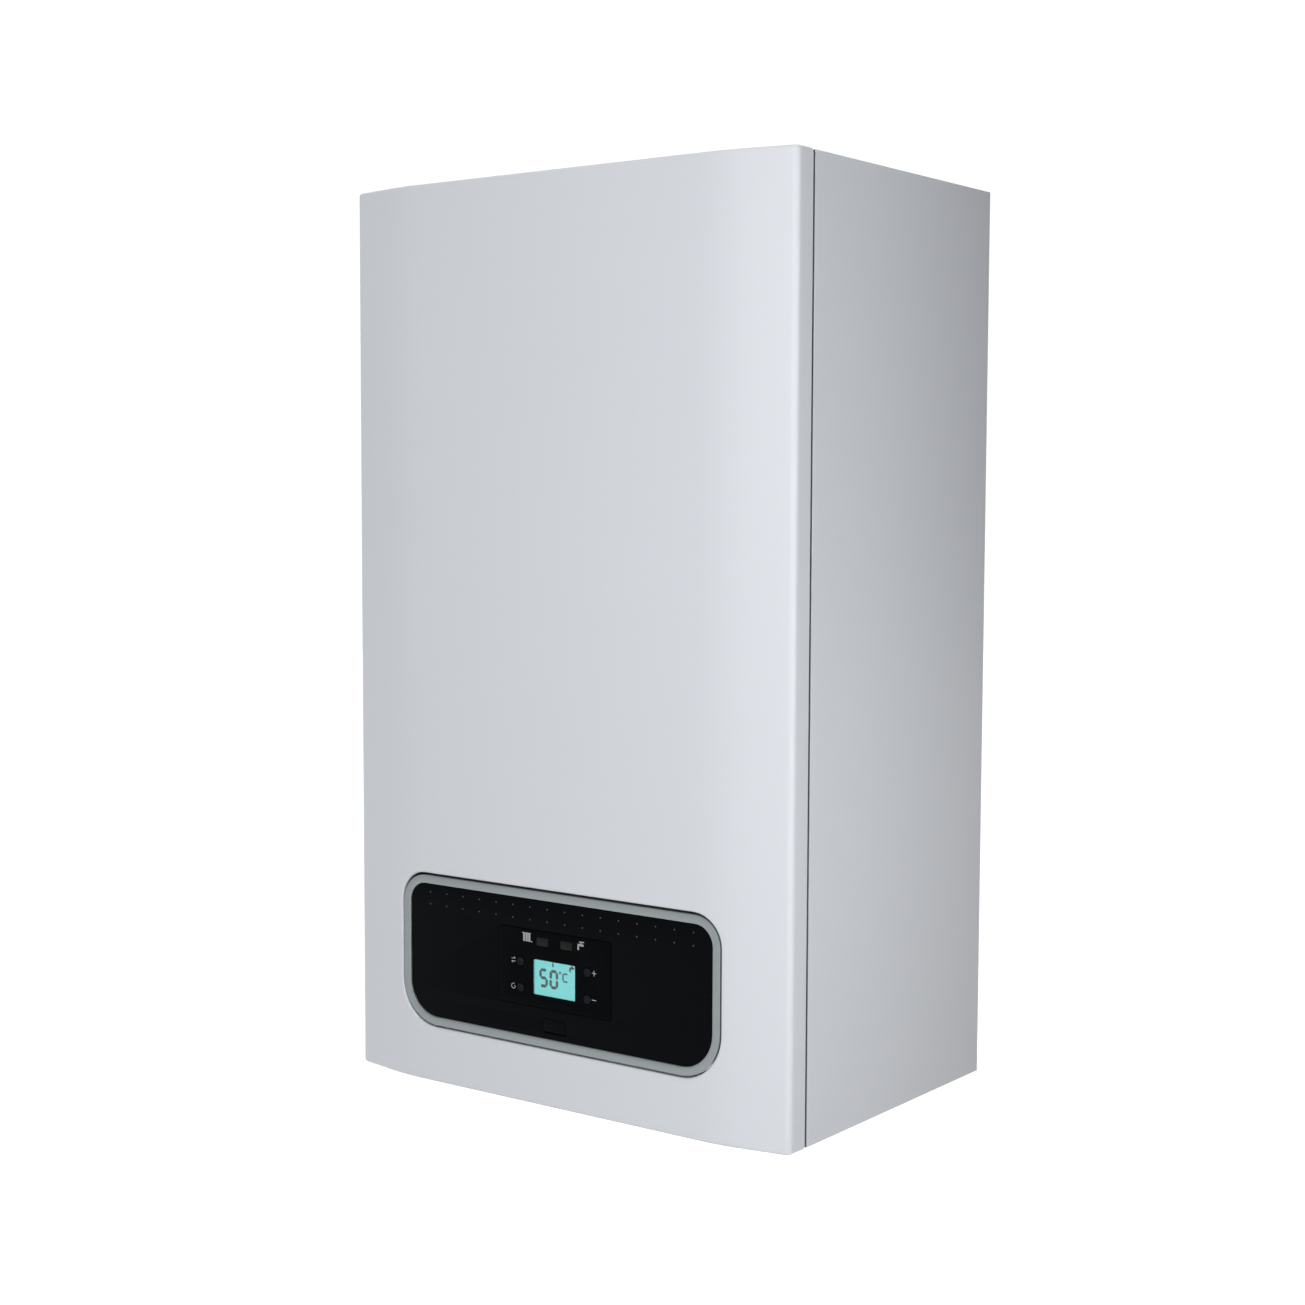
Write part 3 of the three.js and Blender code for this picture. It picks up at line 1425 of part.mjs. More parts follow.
function makeExpansionVessel() {
  const wall = VESSEL.radius - VESSEL.bead;
  const drum = turnedD([0, vesselZ], [
    [0, vesselBack],
    [VESSEL.radius - VESSEL.shoulder, vesselBack],
    [wall - VESSEL.bead, vesselBack + 12],
    [wall, vesselMiddle - VESSEL.beadHalf],
    [VESSEL.radius, vesselMiddle - VESSEL.beadHalf + 2],
    [VESSEL.radius, vesselMiddle + VESSEL.beadHalf - 2],
    [wall, vesselMiddle + VESSEL.beadHalf],
    [wall - VESSEL.bead, vesselFront - 12],
    [VESSEL.radius - VESSEL.shoulder, vesselFront],
    [0, vesselFront],
  ], 28);
  const neck = barZ(vesselNeck, [neckUnder, neckUnder + 20], VESSEL.neckRadius, 12);
  part("expansion_vessel", join(drum, neck), RED_PAINT);
}

const vesselPort = {
  z: MANIFOLD.returnTop - VESSEL_PIPE.boss,
  back: TAILS.depth - MANIFOLD.radius - 6,
};

function makeVesselPipe() {
  const top = neckUnder - FIT;
  const corners = [
    [...vesselNeck, top],
    [...vesselNeck, vesselPort.z + VESSEL_PIPE.runHigh],
    [returnX - VESSEL_PIPE.beside, vesselMiddle, vesselPort.z + VESSEL_PIPE.runLow],
    [returnX, vesselMiddle + VESSEL_PIPE.forward, vesselPort.z],
    [returnX, vesselPort.back - FIT, vesselPort.z],
  ];
  const nut = barZ(vesselNeck, [top - PIPE.nut, top], VESSEL.neckRadius, 6);
  part("vessel_pipe", join(pipe(corners, VESSEL_PIPE.radius, VESSEL_PIPE.bend), nut), COPPER);
}

// ---------------------------------------------------------------- plate heat exchanger and manifolds

const portFront = platesFront + PLATES.portRise;
const armBack = portFront + FIT;

function makePlateHeatExchanger() {
  const half = PLATES.width / 2;
  const pitch = (platesFront - platesBack) / PLATES.count;
  const plates = Array.from({ length: PLATES.count }, (_, i) => {
    const inset = i % 2 ? 2 : 0;
    const from = platesBack + i * pitch;
    const shape = roundedRectangle(
      [inset - half, half - inset],
      [PLATES.low + inset, PLATES.high - inset],
      PLATES.corner,
    );
    return plateD(shape, [from, from + pitch], 1);
  });
  const ports = portPlaces().map((place) => barD(
    place,
    [platesFront - 1, portFront],
    PLATES.portRadius,
    12,
  ));
  const bores = portPlaces().map((place) => barD(
    place,
    [platesFront - 9, portFront + 1],
    PLATES.portRadius - 3,
    8,
  ));
  part("plate_heat_exchanger", cut(join(...plates, ...ports), ...bores), STAINLESS);
}

function portPlaces() {
  return [MANIFOLD.armLow, MANIFOLD.armHigh].flatMap((z) => bothSides((side) =>
    [side * PLATES.port, z],
  ));
}

// A manifold's column, its two arms in front of the plate heat exchanger, and its two pipe tails.
function manifoldBody(side, top) {
  const middle = [side * returnX, TAILS.depth];
  const slim = [side * coldX, TAILS.depth];
  const column = barZ(middle, [trayTop + FIT, top], MANIFOLD.radius);
  const arms = [MANIFOLD.armLow, MANIFOLD.armHigh].map((z) =>
    block(
      [side * (PLATES.port - 15), side * returnX],
      [armBack, armBack + MANIFOLD.armDepth],
      [z - MANIFOLD.armHalf, z + MANIFOLD.armHalf],
    ),
  );
  const wideTail = barZ(middle, [TAILS.end, trayTop + 5], TAILS.wideRadius);
  const slimTail = barZ(slim, [TAILS.end, MANIFOLD.armLow], TAILS.slimRadius);
  const nutSpan = [TAILS.end + 4, TAILS.end + 4 + TAILS.nut];
  const nuts = [barZ(middle, nutSpan, TAILS.wideRadius + 3, 6), barZ(
    slim,
    nutSpan,
    TAILS.slimRadius + 4,
    6,
  )];
  return join(column, ...arms, wideTail, slimTail, ...nuts);
}

function manifoldBores(side) {
  const ports = portPlaces()
    .filter(([x]) => x * side > 0)
    .map((place) => barD(place, [armBack - 1, armBack + 12], PLATES.portRadius - 3, 8));
  const wide = barZ(
    [side * returnX, TAILS.depth],
    [TAILS.end - 1, MANIFOLD.armLow],
    TAILS.wideRadius - 3.7,
    12,
  );
  const slim = barZ(
    [side * coldX, TAILS.depth],
    [TAILS.end - 1, MANIFOLD.armLow],
    TAILS.slimRadius - 3.5,
    12,
  );
  return [...ports, wide, slim];
}

function makeFlowManifold() {
  const diverterBoss = barD([flowX, MANIFOLD.armHigh], [TAILS.depth, diverterFront], DIVERTER.boss);
  const reliefBoss = barD([flowX, RELIEF.z], [TAILS.depth, reliefFront], RELIEF.boss);
  const outlet = barZ([flowX, reliefOutletDepth], [TAILS.end + 4, RELIEF.z - 2], RELIEF.outletRadius);
  const bores = [
    barD([flowX, MANIFOLD.armHigh], [TAILS.depth, diverterFront + 1], DIVERTER.bore, 12),
    barD([flowX, RELIEF.z], [reliefFront - 10, reliefFront + 1], RELIEF.stem + 0.5, 12),
    barZ([flowX, reliefOutletDepth], [TAILS.end + 3, RELIEF.z - 14], RELIEF.outletRadius - 2, 12),
  ];
  const body = join(manifoldBody(-1, MANIFOLD.flowTop), diverterBoss, reliefBoss, outlet);
  part("flow_manifold", cut(body, ...manifoldBores(-1), ...bores), BRASS);
}

function makeReturnManifold() {
  const fillBoss = barZ([fillX, TAILS.depth], [FILL.low, MANIFOLD.armLow], FILL.boss);
  const drainBoss = barD([returnX, DRAIN.z], [TAILS.depth, drainFront], DRAIN.boss);
  const sensorBoss = barD([returnX, SENSOR.z], [TAILS.depth, sensorFront], SENSOR.boss);
  const vesselBoss = barD(
    [returnX, vesselPort.z],
    [vesselPort.back, TAILS.depth],
    VESSEL_PIPE.boss,
    12,
  );
  const bores = [
    barZ([fillX, TAILS.depth], [FILL.low - 1, FILL.low + 20], FILL.stem + 0.4, 12),
    barD([returnX, DRAIN.z], [drainFront - 22, drainFront + 1], DRAIN.stem + 0.4, 12),
    barD(
      [returnX, vesselPort.z],
      [vesselPort.back - 1, vesselPort.back + 6],
      VESSEL_PIPE.radius - 1.5,
      8,
    ),
  ];
  const body = join(manifoldBody(1, MANIFOLD.returnTop), fillBoss, drainBoss, sensorBoss, vesselBoss);
  part("return_manifold", cut(body, ...manifoldBores(1), ...bores), BRASS);
}

// ---------------------------------------------------------------- valves, taps and sensor

function makeDiverterMotor() {
  const half = DIVERTER.motorWidth / 2;
  const seat = diverterFront + FIT;
  const body = block(
    [flowX - half, flowX + half],
    [seat + 7, diverterMotorFront],
    [MANIFOLD.armHigh - half, MANIFOLD.armHigh + half + 2],
  );
  const snout = barD([flowX, MANIFOLD.armHigh], [seat, seat + 8], DIVERTER.boss - 1);
  const bore = barD([flowX, MANIFOLD.armHigh], [seat - 1, seat + 24], DIVERTER.bore, 12);
  const socket = block([flowX - 12, flowX + 12], [diverterMotorFront - 20, diverterMotorFront - 5], [
    MANIFOLD.armHigh + half,
    MANIFOLD.armHigh + half + 10,
  ]);
  part("diverter_motor", cut(join(body, snout, socket), bore), DARK_PLASTIC);
}

function makeDiverterSpindle() {
  const back = TAILS.depth + DIVERTER.stroke;
  const front = diverterFront + 16;
  part(
    "diverter_spindle",
    barD([flowX, MANIFOLD.armHigh], [back, front], DIVERTER.bore - 0.4, 12),
    STAINLESS,
  );
}

// A hand knob's rim with round lobes to hold it by.
function lobes(place, span, radius, count, lobe, bar) {
  return Array.from({ length: count }, (_, i) => {
    const angle = (2 * Math.PI * i) / count;
    const reach = radius - lobe;
    return bar([place[0] + reach * Math.cos(angle), place[1] + reach * Math.sin(angle)], span, lobe, 8);
  });
}

function makeSafetyValveKnob() {
  const place = [flowX, RELIEF.z];
  const seat = reliefFront + 2;
  const span = [seat, seat + RELIEF.knobDepth];
  const core = barD(place, span, RELIEF.knob - 2.6, 16);
  const grips = lobes(place, span, RELIEF.knob, 8, 3.4, barD);
  const stem = barD(place, [reliefFront - 9, seat + 1], RELIEF.stem, 12);
  part("safety_valve_knob", join(core, ...grips, stem), RED_PLASTIC);
}

function makeFillTapKnob() {
  const place = [fillX, TAILS.depth];
  const span = [FILL.knobLow, FILL.knobLow + FILL.knobHeight];
  const core = barZ(place, span, FILL.knob - 3, 16);
  const grips = lobes(place, span, FILL.knob, 6, 4, barZ);
  const stem = barZ(place, [FILL.knobLow + FILL.knobHeight - 1, FILL.low + 16], FILL.stem, 12);
  part("fill_tap_knob", join(core, ...grips, stem), BLUE_PLASTIC);
}

function makeDrainCockKnob() {
  const place = [returnX, DRAIN.z];
  const seat = drainFront + FIT;
  const grip = barD(place, [seat, seat + 8], DRAIN.knob, 16);
  const blade = block(
    [returnX - DRAIN.knob, returnX + DRAIN.knob],
    [seat + 4, seat + 14],
    [DRAIN.z - 2, DRAIN.z + 2],
  );
  const stem = barD(place, [drainFront - 20, seat + 1], DRAIN.stem, 12);
  part("drain_cock_knob", join(grip, blade, stem), DARK_PLASTIC);
}

function makePressureSensor() {
  const place = [returnX, SENSOR.z];
  const start = sensorFront + FIT;
  const end = start + SENSOR.length;
  const hexagon = barD(place, [start, start + 10], SENSOR.boss + 3, 6);
  const body = barD(place, [start + 9, end], SENSOR.boss + 1, 16);
  const plug = block([returnX - 6, returnX + 6], [end - 1, end + 9], [SENSOR.z - 5, SENSOR.z + 5]);
  part("pressure_sensor", join(hexagon, body, plug), DARK_PLASTIC);
}

// ---------------------------------------------------------------- pump

function makePumpBody() {
  const middle = [pumpX, pumpZ];
  const ribbed = turnedD(middle, [
    [0, pumpBack],
    [PUMP.radius - 12, pumpBack],
    [PUMP.radius, pumpBack + 12],
    [PUMP.radius, pumpFront],
    [0, pumpFront],
  ], 24);
  const inlet = barZ(
    [returnX, TAILS.depth],
    [MANIFOLD.returnTop + FIT, pumpZ - PUMP.chamber],
    PUMP.inletRadius,
  );
  const outlet = barZ([pumpOutletX, pumpOutletDepth], [pumpZ + 32, pumpOutletTop], WATERWAY.bossRadius);
  const tower = barZ([ventX, ventDepth], [pumpZ + PUMP.radius - 20, ventTop], 15);
  const cavities = [
    barD(middle, [chamberBack, pumpFront + 1], PUMP.chamber, 24),
    barZ(
      [pumpOutletX, pumpOutletDepth],
      [pumpOutletTop - 12, pumpOutletTop + 1],
      WATERWAY.radius - 2,
      12,
    ),
    barZ([ventX, ventDepth], [ventTop - 11, ventTop + 1], 3.4, 12),
  ];
  part("pump_body", cut(join(ribbed, inlet, outlet, tower), ...cavities), CAST_IRON);
}

function makePumpMotor() {
  const middle = [pumpX, pumpZ];
  const seat = pumpFront + FIT;
  const can = turnedD(middle, [
    [0, seat],
    [PUMP.radius, seat],
    [PUMP.radius, seat + 6],
    [PUMP.motorRadius, seat + 6],
    [PUMP.motorRadius, pumpMotorFront - 6],
    [PUMP.motorRadius - 6, pumpMotorFront],
    [0, pumpMotorFront],
  ], 24);
  const half = PUMP.boxWidth / 2;
  const box = block(
    [pumpX - half, pumpX + half],
    [seat + 22, pumpMotorFront - 10],
    [pumpZ + 30, pumpZ + PUMP.boxRise],
  );
  const screw = barD(middle, [pumpMotorFront - 1, pumpMotorFront + 3], 11, 12);
  const bore = barD(middle, [seat - 1, seat + 32], PUMP.shaft + 0.4, 12);
  part("pump_motor", cut(join(can, box, screw), bore), DARK_PLASTIC);
}

function makePumpImpeller() {
  const middle = [pumpX, pumpZ];
  const back = chamberBack + 6;
  const disc = barD(middle, [back + 10, back + 14], PUMP.wheel, 20);
  const front = barD(middle, [back, back + 2], PUMP.wheel - 2, 20);
  const hub = barD(middle, [back, back + 12], 9, 12);
  const shaft = barD(middle, [back + 13, pumpFront + 30], PUMP.shaft, 12);
  const vanes = Array.from({ length: 6 }, (_, i) => {
    const vane = new THREE.BoxGeometry(PUMP.wheel - 10, 9.5, 2);
    vane.translate(PUMP.wheel / 2 + 3, -(back + 6), -5);
    vane.rotateY((2 * Math.PI * i) / 6);
    vane.translate(pumpX, 0, pumpZ);
    return solid(vane);
  });
  part("pump_impeller", join(disc, front, hub, shaft, ...vanes), GREY_PLASTIC);
}

function makeAirVentCap() {
  const place = [ventX, ventDepth];
  const span = [ventTop + FIT, ventTop + 10];
  const core = barZ(place, span, 6.4, 12);
  const grips = lobes(place, span, 8, 6, 2.4, barZ);
  const stem = barZ(place, [ventTop - 9, ventTop + 1], 3, 12);
  part("air_vent_cap", join(core, ...grips, stem), BLACK_PLASTIC);
}

// ---------------------------------------------------------------- water pipes, condensate pipe and trap

function makeFlowPipe() {
  const depth = waterDepth;
  const start = MANIFOLD.flowTop + FIT;
  const corners = [
    [-waterReach - FIT, depth, flowZ],
    [flowRunX, depth, flowZ],
    [flowRunX, depth, MANIFOLD.flowTop + PIPE.swanHigh],
    [flowX, TAILS.depth, MANIFOLD.flowTop + PIPE.swanLow],
    [flowX, TAILS.depth, start],
  ];
  const endNut = barX(
    [depth, flowZ],
    [-waterReach - FIT - PIPE.nut, -waterReach - FIT],
    PIPE.nutRadius,
    6,
  );
  const startNut = barZ([flowX, TAILS.depth], [start, start + PIPE.nut], PIPE.nutRadius, 6);
  part("flow_pipe", join(pipe(corners, PIPE.radius), endNut, startNut), COPPER);
}

function makeReturnPipe() {
  const depth = waterDepth;
  const start = pumpOutletTop + FIT;
  const corners = [
    [pumpOutletX, pumpOutletDepth, start],
    [pumpOutletX, pumpOutletDepth, start + PIPE.swanLow],
    [returnRunX, depth, start + 2 * PIPE.swanHigh],
    [returnRunX, depth, returnZ],
    [waterReach + FIT, depth, returnZ],
  ];
  const endNut = barX(
    [depth, returnZ],
    [waterReach + FIT, waterReach + FIT + PIPE.nut - 3],
    PIPE.nutRadius,
    6,
  );
  const startNut = barZ([pumpOutletX, pumpOutletDepth], [start, start + PIPE.nut], PIPE.nutRadius, 6);
  part("return_pipe", join(pipe(corners, PIPE.radius), endNut, startNut), COPPER);
}

function makeCondensatePipe() {
  const top = shellUnder - FIT;
  const end = TRAP.neckTop + FIT;
  const cuffRadius = CONDENSATE.radius + 2.5;
  const corners = [
    [CONDENSATE.x, waterDepth, top],
    [CONDENSATE.x, waterDepth, top - CONDENSATE.drop],
    [CONDENSATE.x + CONDENSATE.side, CONDENSATE.depth, top - CONDENSATE.drop - CONDENSATE.fall],
    [trapX, TRAP.depth, TRAP.neckTop + CONDENSATE.trapRise],
    [trapX, TRAP.depth, end],
  ];
  const cuff = barZ([trapX, TRAP.depth], [end, end + CONDENSATE.cuff], cuffRadius, 12);
  const topCuff = barZ([CONDENSATE.x, waterDepth], [top - CONDENSATE.cuff, top], cuffRadius, 12);
  const run = pipe(corners, CONDENSATE.radius, CONDENSATE.bend);
  part("condensate_pipe", join(run, cuff, topCuff), GREY_PLASTIC);
}

function makeCondensateTrap() {
  const at = [trapX, TRAP.depth];
  const body = turnedZ(at, [
    [0, TRAP.end],
    [TRAP.neck, TRAP.end],
    [TRAP.neck, TRAP.low],
    [TRAP.radius, TRAP.low + 6],
    [TRAP.radius, TRAP.high],
    [TRAP.neck, TRAP.high + 3],
    [TRAP.neck, TRAP.neckTop],
    [0, TRAP.neckTop],
  ], 24);
  const tab = block(
    [trapX - 6, trapX + 6],
    [frameFront + FIT, TRAP.depth - 10],
    [TRAP.high - 50, TRAP.high - 30],
  );
  const bores = [
    barZ(at, [TRAP.end - 1, TRAP.low], TRAP.bore, 16),
    barZ(at, [TRAP.neckTop - 10, TRAP.neckTop + 1], CONDENSATE.radius - 2, 12),
  ];
  part("condensate_trap", cut(join(body, tab), ...bores), GREY_PLASTIC);
}

// ---------------------------------------------------------------- the whole boiler

makeWallBracket();
makeBackFrame();
makeSidePanel("left_side_panel", -1);
makeSidePanel("right_side_panel", 1);
makeTopPanel();
makeBottomTray();
makeCoverSeal();
makeExchangerStrap();
makeCableGland();

makeFrontCover();
makeCoverPad();

makeControlHousing();
makeControlFascia();
makeFasciaRim();
makeControlOverlay();
makeLcdModule();
makeLcdLens();
makeControlPcb();
makeLightGuide();
makeButtons();
makePortFlap();

makeHeatExchangerShell();
makeHeatExchangerCoil();
makeBurnerDoor();
makeBurner();
makeIgnitionElectrode();
makeIgnitionUnit();
makeFanHousing();
makeFanMotor();
makeFanImpeller();
makeGasMixer();
makePremixDuct();
makeAirIntakeDuct();
makeGasValve();
makeGasLinkPipe();
makeGasPipe();
makeFlueSpigot();
makeFlueCollar();

makeExpansionVessel();
makeVesselPipe();
makePlateHeatExchanger();
makeFlowManifold();
makeReturnManifold();
makeDiverterMotor();
makeDiverterSpindle();
makeSafetyValveKnob();
makeFillTapKnob();
makeDrainCockKnob();
makePressureSensor();
makePumpBody();
makePumpMotor();
makePumpImpeller();
makeAirVentCap();
makeFlowPipe();
makeReturnPipe();
makeCondensatePipe();
makeCondensateTrap();

export default combiBoiler;
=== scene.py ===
import json
import math
import bmesh
import bpy
import numpy as np
from mathutils import Matrix, Vector
from mathutils.geometry import tessellate_polygon

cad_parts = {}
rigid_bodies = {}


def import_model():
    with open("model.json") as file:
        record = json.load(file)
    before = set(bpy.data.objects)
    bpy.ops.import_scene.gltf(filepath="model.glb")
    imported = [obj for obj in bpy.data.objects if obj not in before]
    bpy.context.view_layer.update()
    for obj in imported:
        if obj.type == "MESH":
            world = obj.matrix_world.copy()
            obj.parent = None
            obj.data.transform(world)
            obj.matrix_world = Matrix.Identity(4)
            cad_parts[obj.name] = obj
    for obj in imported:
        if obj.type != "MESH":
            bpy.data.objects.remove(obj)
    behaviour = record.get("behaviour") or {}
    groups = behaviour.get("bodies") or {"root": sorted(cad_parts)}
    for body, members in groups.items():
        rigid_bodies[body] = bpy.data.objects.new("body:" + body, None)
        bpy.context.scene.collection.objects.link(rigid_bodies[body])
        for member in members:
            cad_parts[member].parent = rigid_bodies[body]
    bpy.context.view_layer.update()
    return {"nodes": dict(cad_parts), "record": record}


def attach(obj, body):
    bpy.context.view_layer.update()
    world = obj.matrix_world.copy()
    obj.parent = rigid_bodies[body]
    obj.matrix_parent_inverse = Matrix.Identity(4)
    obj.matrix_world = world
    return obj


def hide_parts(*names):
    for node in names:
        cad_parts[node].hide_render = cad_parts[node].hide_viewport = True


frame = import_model()

# Shapes are drawn in mm, in the case's own directions: across, out from the wall, up from its lowest line.
HANG = 640.0  # height of the wall bracket's middle, which is the frame's zero
COVER_HALF = 205.0
COVER_TOP = 692.0
COVER_FACE = 284.8
COVER_BACK = 255.8
BAND = dict(half=151.0, low=44.5, high=162.0, low_radius=34.0, high_radius=22.0)
WELD = 2e-6  # metres within which two points are one
CREASE = math.radians(35.0)  # edges sharper than this stay sharp on a new piece
EASE_CREASE = math.radians(30.0)  # edges sharper than this are eased on a copied solid
OWN_PLACE = "own_place"
RELIEF_NOISE = "relief_noise"


# ---------------------------------------------------------------- finishes

def noise(made, name, scale, detail):
    """A noise field that is read at the piece's own place."""
    nodes = made.node_tree.nodes
    field = nodes.new("ShaderNodeTexNoise")
    field.name = name
    field.inputs["Scale"].default_value = scale
    field.inputs["Detail"].default_value = detail
    made.node_tree.links.new(nodes[OWN_PLACE].outputs["Object"], field.inputs["Vector"])
    return field.outputs["Fac"]


def finish(name, colour, rough, metal=0.0, grain=(900.0, 0.01), mottle=(18.0, 0.05),
           polish=(60.0, 0.06), **sockets):
    """A surface from three noises: slow for the colour, middling for the gloss, fine for the relief.

    mottle, polish and grain each give a noise's scale and amount; sockets are set on the shader itself.
    """
    made = bpy.data.materials.new(name)
    made.use_nodes = True
    nodes = made.node_tree.nodes
    links = made.node_tree.links
    shader = nodes["Principled BSDF"]
    nodes.new("ShaderNodeTexCoord").name = OWN_PLACE
    tint = nodes.new("ShaderNodeMix")
    tint.data_type = "RGBA"
    low = [max(0.0, part * (1 - mottle[1])) for part in colour]
    high = [min(1.0, part * (1 + mottle[1])) for part in colour]
    tint.inputs["A"].default_value = (*low, 1)
    tint.inputs["B"].default_value = (*high, 1)
    links.new(noise(made, "colour_noise", mottle[0], 4.0), tint.inputs["Factor"])
    links.new(tint.outputs["Result"], shader.inputs["Base Color"])
    gloss = nodes.new("ShaderNodeMapRange")
    gloss.inputs["To Min"].default_value = max(0.02, rough - polish[1])
    gloss.inputs["To Max"].default_value = min(1.0, rough + polish[1])
    links.new(noise(made, "gloss_noise", polish[0], 3.0), gloss.inputs["Value"])
    links.new(gloss.outputs["Result"], shader.inputs["Roughness"])
    relief = nodes.new("ShaderNodeBump")
    relief.inputs["Strength"].default_value = grain[1]
    relief.inputs["Distance"].default_value = 0.001
    links.new(noise(made, RELIEF_NOISE, grain[0], 2.0), relief.inputs["Height"])
    links.new(relief.outputs["Normal"], shader.inputs["Normal"])
    shader.inputs["Metallic"].default_value = metal
    for socket, value in sockets.items():
        shader.inputs[socket.replace("_", " ")].default_value = value
    return made


def stretched(made, squeeze):
    """Draws the fine relief out along one direction, as rolling, brushing or drawing leaves it."""
    nodes = made.node_tree.nodes
    links = made.node_tree.links
    mapping = nodes.new("ShaderNodeMapping")
    mapping.inputs["Scale"].default_value = squeeze
    links.new(nodes[OWN_PLACE].outputs["Object"], mapping.inputs["Vector"])
    links.new(mapping.outputs["Vector"], nodes[RELIEF_NOISE].inputs["Vector"])
    return made


def spangled(made, scale, amount):
    """Adds zinc's crystal flakes: each cell of a crackle pattern gets its own shade."""
    nodes = made.node_tree.nodes
    links = made.node_tree.links
    shader = nodes["Principled BSDF"]
    cells = nodes.new("ShaderNodeTexVoronoi")
    cells.inputs["Scale"].default_value = scale
    links.new(nodes[OWN_PLACE].outputs["Object"], cells.inputs["Vector"])
    tone = nodes.new("ShaderNodeMapRange")
    tone.inputs["To Min"].default_value = 1 - amount
    tone.inputs["To Max"].default_value = 1 + amount
    links.new(cells.outputs["Color"], tone.inputs["Value"])
    shade = nodes.new("ShaderNodeMix")
    shade.data_type = "RGBA"
    shade.blend_type = "MULTIPLY"
    shade.inputs["Factor"].default_value = 1.0
    links.new(shader.inputs["Base Color"].links[0].from_socket, shade.inputs["A"])
    links.new(tone.outputs["Result"], shade.inputs["B"])
    links.new(shade.outputs["Result"], shader.inputs["Base Color"])
    return made


def lit(made, colour, strength):
    """Makes a surface glow, for what a lamp stands behind."""
    shader = made.node_tree.nodes["Principled BSDF"]
    shader.inputs["Emission Color"].default_value = (*colour, 1)
    shader.inputs["Emission Strength"].default_value = strength
    return made


MATERIALS = {
    "white_paint": finish("powder_coat", (0.70, 0.725, 0.77), 0.38, grain=(1100.0, 0.05),
                          mottle=(7.0, 0.012), polish=(30.0, 0.03), Coat_Weight=0.1, Coat_Roughness=0.2),
    "galvanised": spangled(finish("zinc_sheet", (0.56, 0.58, 0.59), 0.4, 0.85, grain=(500.0, 0.03),
                                  mottle=(20.0, 0.05), polish=(80.0, 0.08)), 70.0, 0.12),
    "silver_plastic": finish("silver_lacquer", (0.27, 0.30, 0.31), 0.36, 0.35, grain=(2600.0, 0.05),
                             mottle=(40.0, 0.03), polish=(90.0, 0.04), Coat_Weight=0.2,
                             Coat_Roughness=0.15),
    "black_plastic": finish("black_moulding", (0.0027, 0.0034, 0.0042), 0.3, grain=(1500.0, 0.02),
                            mottle=(20.0, 0.08), polish=(40.0, 0.04), Specular_IOR_Level=0.02),
    "gloss_black": finish("gloss_black_panel", (0.0016, 0.0021, 0.0026), 0.12, grain=(600.0, 0.004),
                          mottle=(20.0, 0.08), polish=(30.0, 0.03), Specular_IOR_Level=0.02),
    "dark_plastic": finish("dark_grained_plastic", (0.022, 0.024, 0.026), 0.48, grain=(1400.0, 0.12),
                           mottle=(18.0, 0.06)),
    "grey_plastic": finish("grey_moulding", (0.15, 0.165, 0.18), 0.45, grain=(1300.0, 0.08)),
    "blue_plastic": finish("blue_moulding", (0.02, 0.09, 0.32), 0.4, grain=(1300.0, 0.06)),
    "red_plastic": finish("red_moulding", (0.45, 0.02, 0.015), 0.3, grain=(1300.0, 0.04)),
    "circuit_board": finish("green_board", (0.012, 0.10, 0.035), 0.35, grain=(350.0, 0.06),
                            mottle=(300.0, 0.3)),
    "light_pipe": finish("clear_moulding", (0.8, 0.84, 0.84), 0.12, grain=(500.0, 0.01),
                         mottle=(40.0, 0.03), Transmission_Weight=0.6, IOR=1.49),
    "foam": finish("open_foam", (0.035, 0.038, 0.042), 0.95, grain=(520.0, 0.9), mottle=(160.0, 0.3)),
    "soft_rubber": finish("black_rubber", (0.012, 0.012, 0.013), 0.62, grain=(900.0, 0.10),
                          mottle=(40.0, 0.12)),
    "red_paint": finish("red_vessel_paint", (0.44, 0.025, 0.018), 0.3, grain=(700.0, 0.05),
                        mottle=(10.0, 0.05), Coat_Weight=0.3, Coat_Roughness=0.1),
    "stainless": stretched(finish("drawn_stainless", (0.56, 0.57, 0.58), 0.3, 1.0, grain=(240.0, 0.012),
                                  mottle=(16.0, 0.04)), (0.3, 0.3, 12.0)),
    "cast_aluminium": finish("cast_aluminium", (0.47, 0.48, 0.49), 0.5, 0.8, grain=(700.0, 0.18),
                             mottle=(60.0, 0.12), polish=(200.0, 0.08)),
    "ceramic": finish("glazed_ceramic", (0.78, 0.75, 0.68), 0.18, grain=(400.0, 0.02),
                      mottle=(30.0, 0.04)),
    "copper": stretched(finish("drawn_copper", (0.70, 0.33, 0.19), 0.3, 1.0, grain=(700.0, 0.012),
                               mottle=(24.0, 0.10), polish=(50.0, 0.08)), (1.0, 1.0, 0.08)),
    "brass": finish("machined_brass", (0.68, 0.48, 0.20), 0.3, 1.0, grain=(900.0, 0.05),
                    mottle=(30.0, 0.08)),
    "cast_iron": finish("coated_iron", (0.02, 0.021, 0.023), 0.5, 0.1, grain=(650.0, 0.4),
                        mottle=(50.0, 0.15)),
    "display_glass": finish("display_glass", (0.85, 0.95, 0.95), 0.05, grain=(300.0, 0.002),
                            mottle=(30.0, 0.02), Transmission_Weight=1.0, IOR=1.45),
}
BACKLIGHT = lit(finish("display_backlight", (0.10, 0.30, 0.30), 0.4, mottle=(35.0, 0.10)),
                (0.145, 0.60, 0.60), 0.72)
SEGMENT_INK = finish("display_segments", (0.001, 0.012, 0.014), 0.5, mottle=(50.0, 0.1))
LAMP_GLASS = finish("smoked_lamp_window", (0.008, 0.0078, 0.0074), 0.2, mottle=(30.0, 0.1),
                    Specular_IOR_Level=0.12)
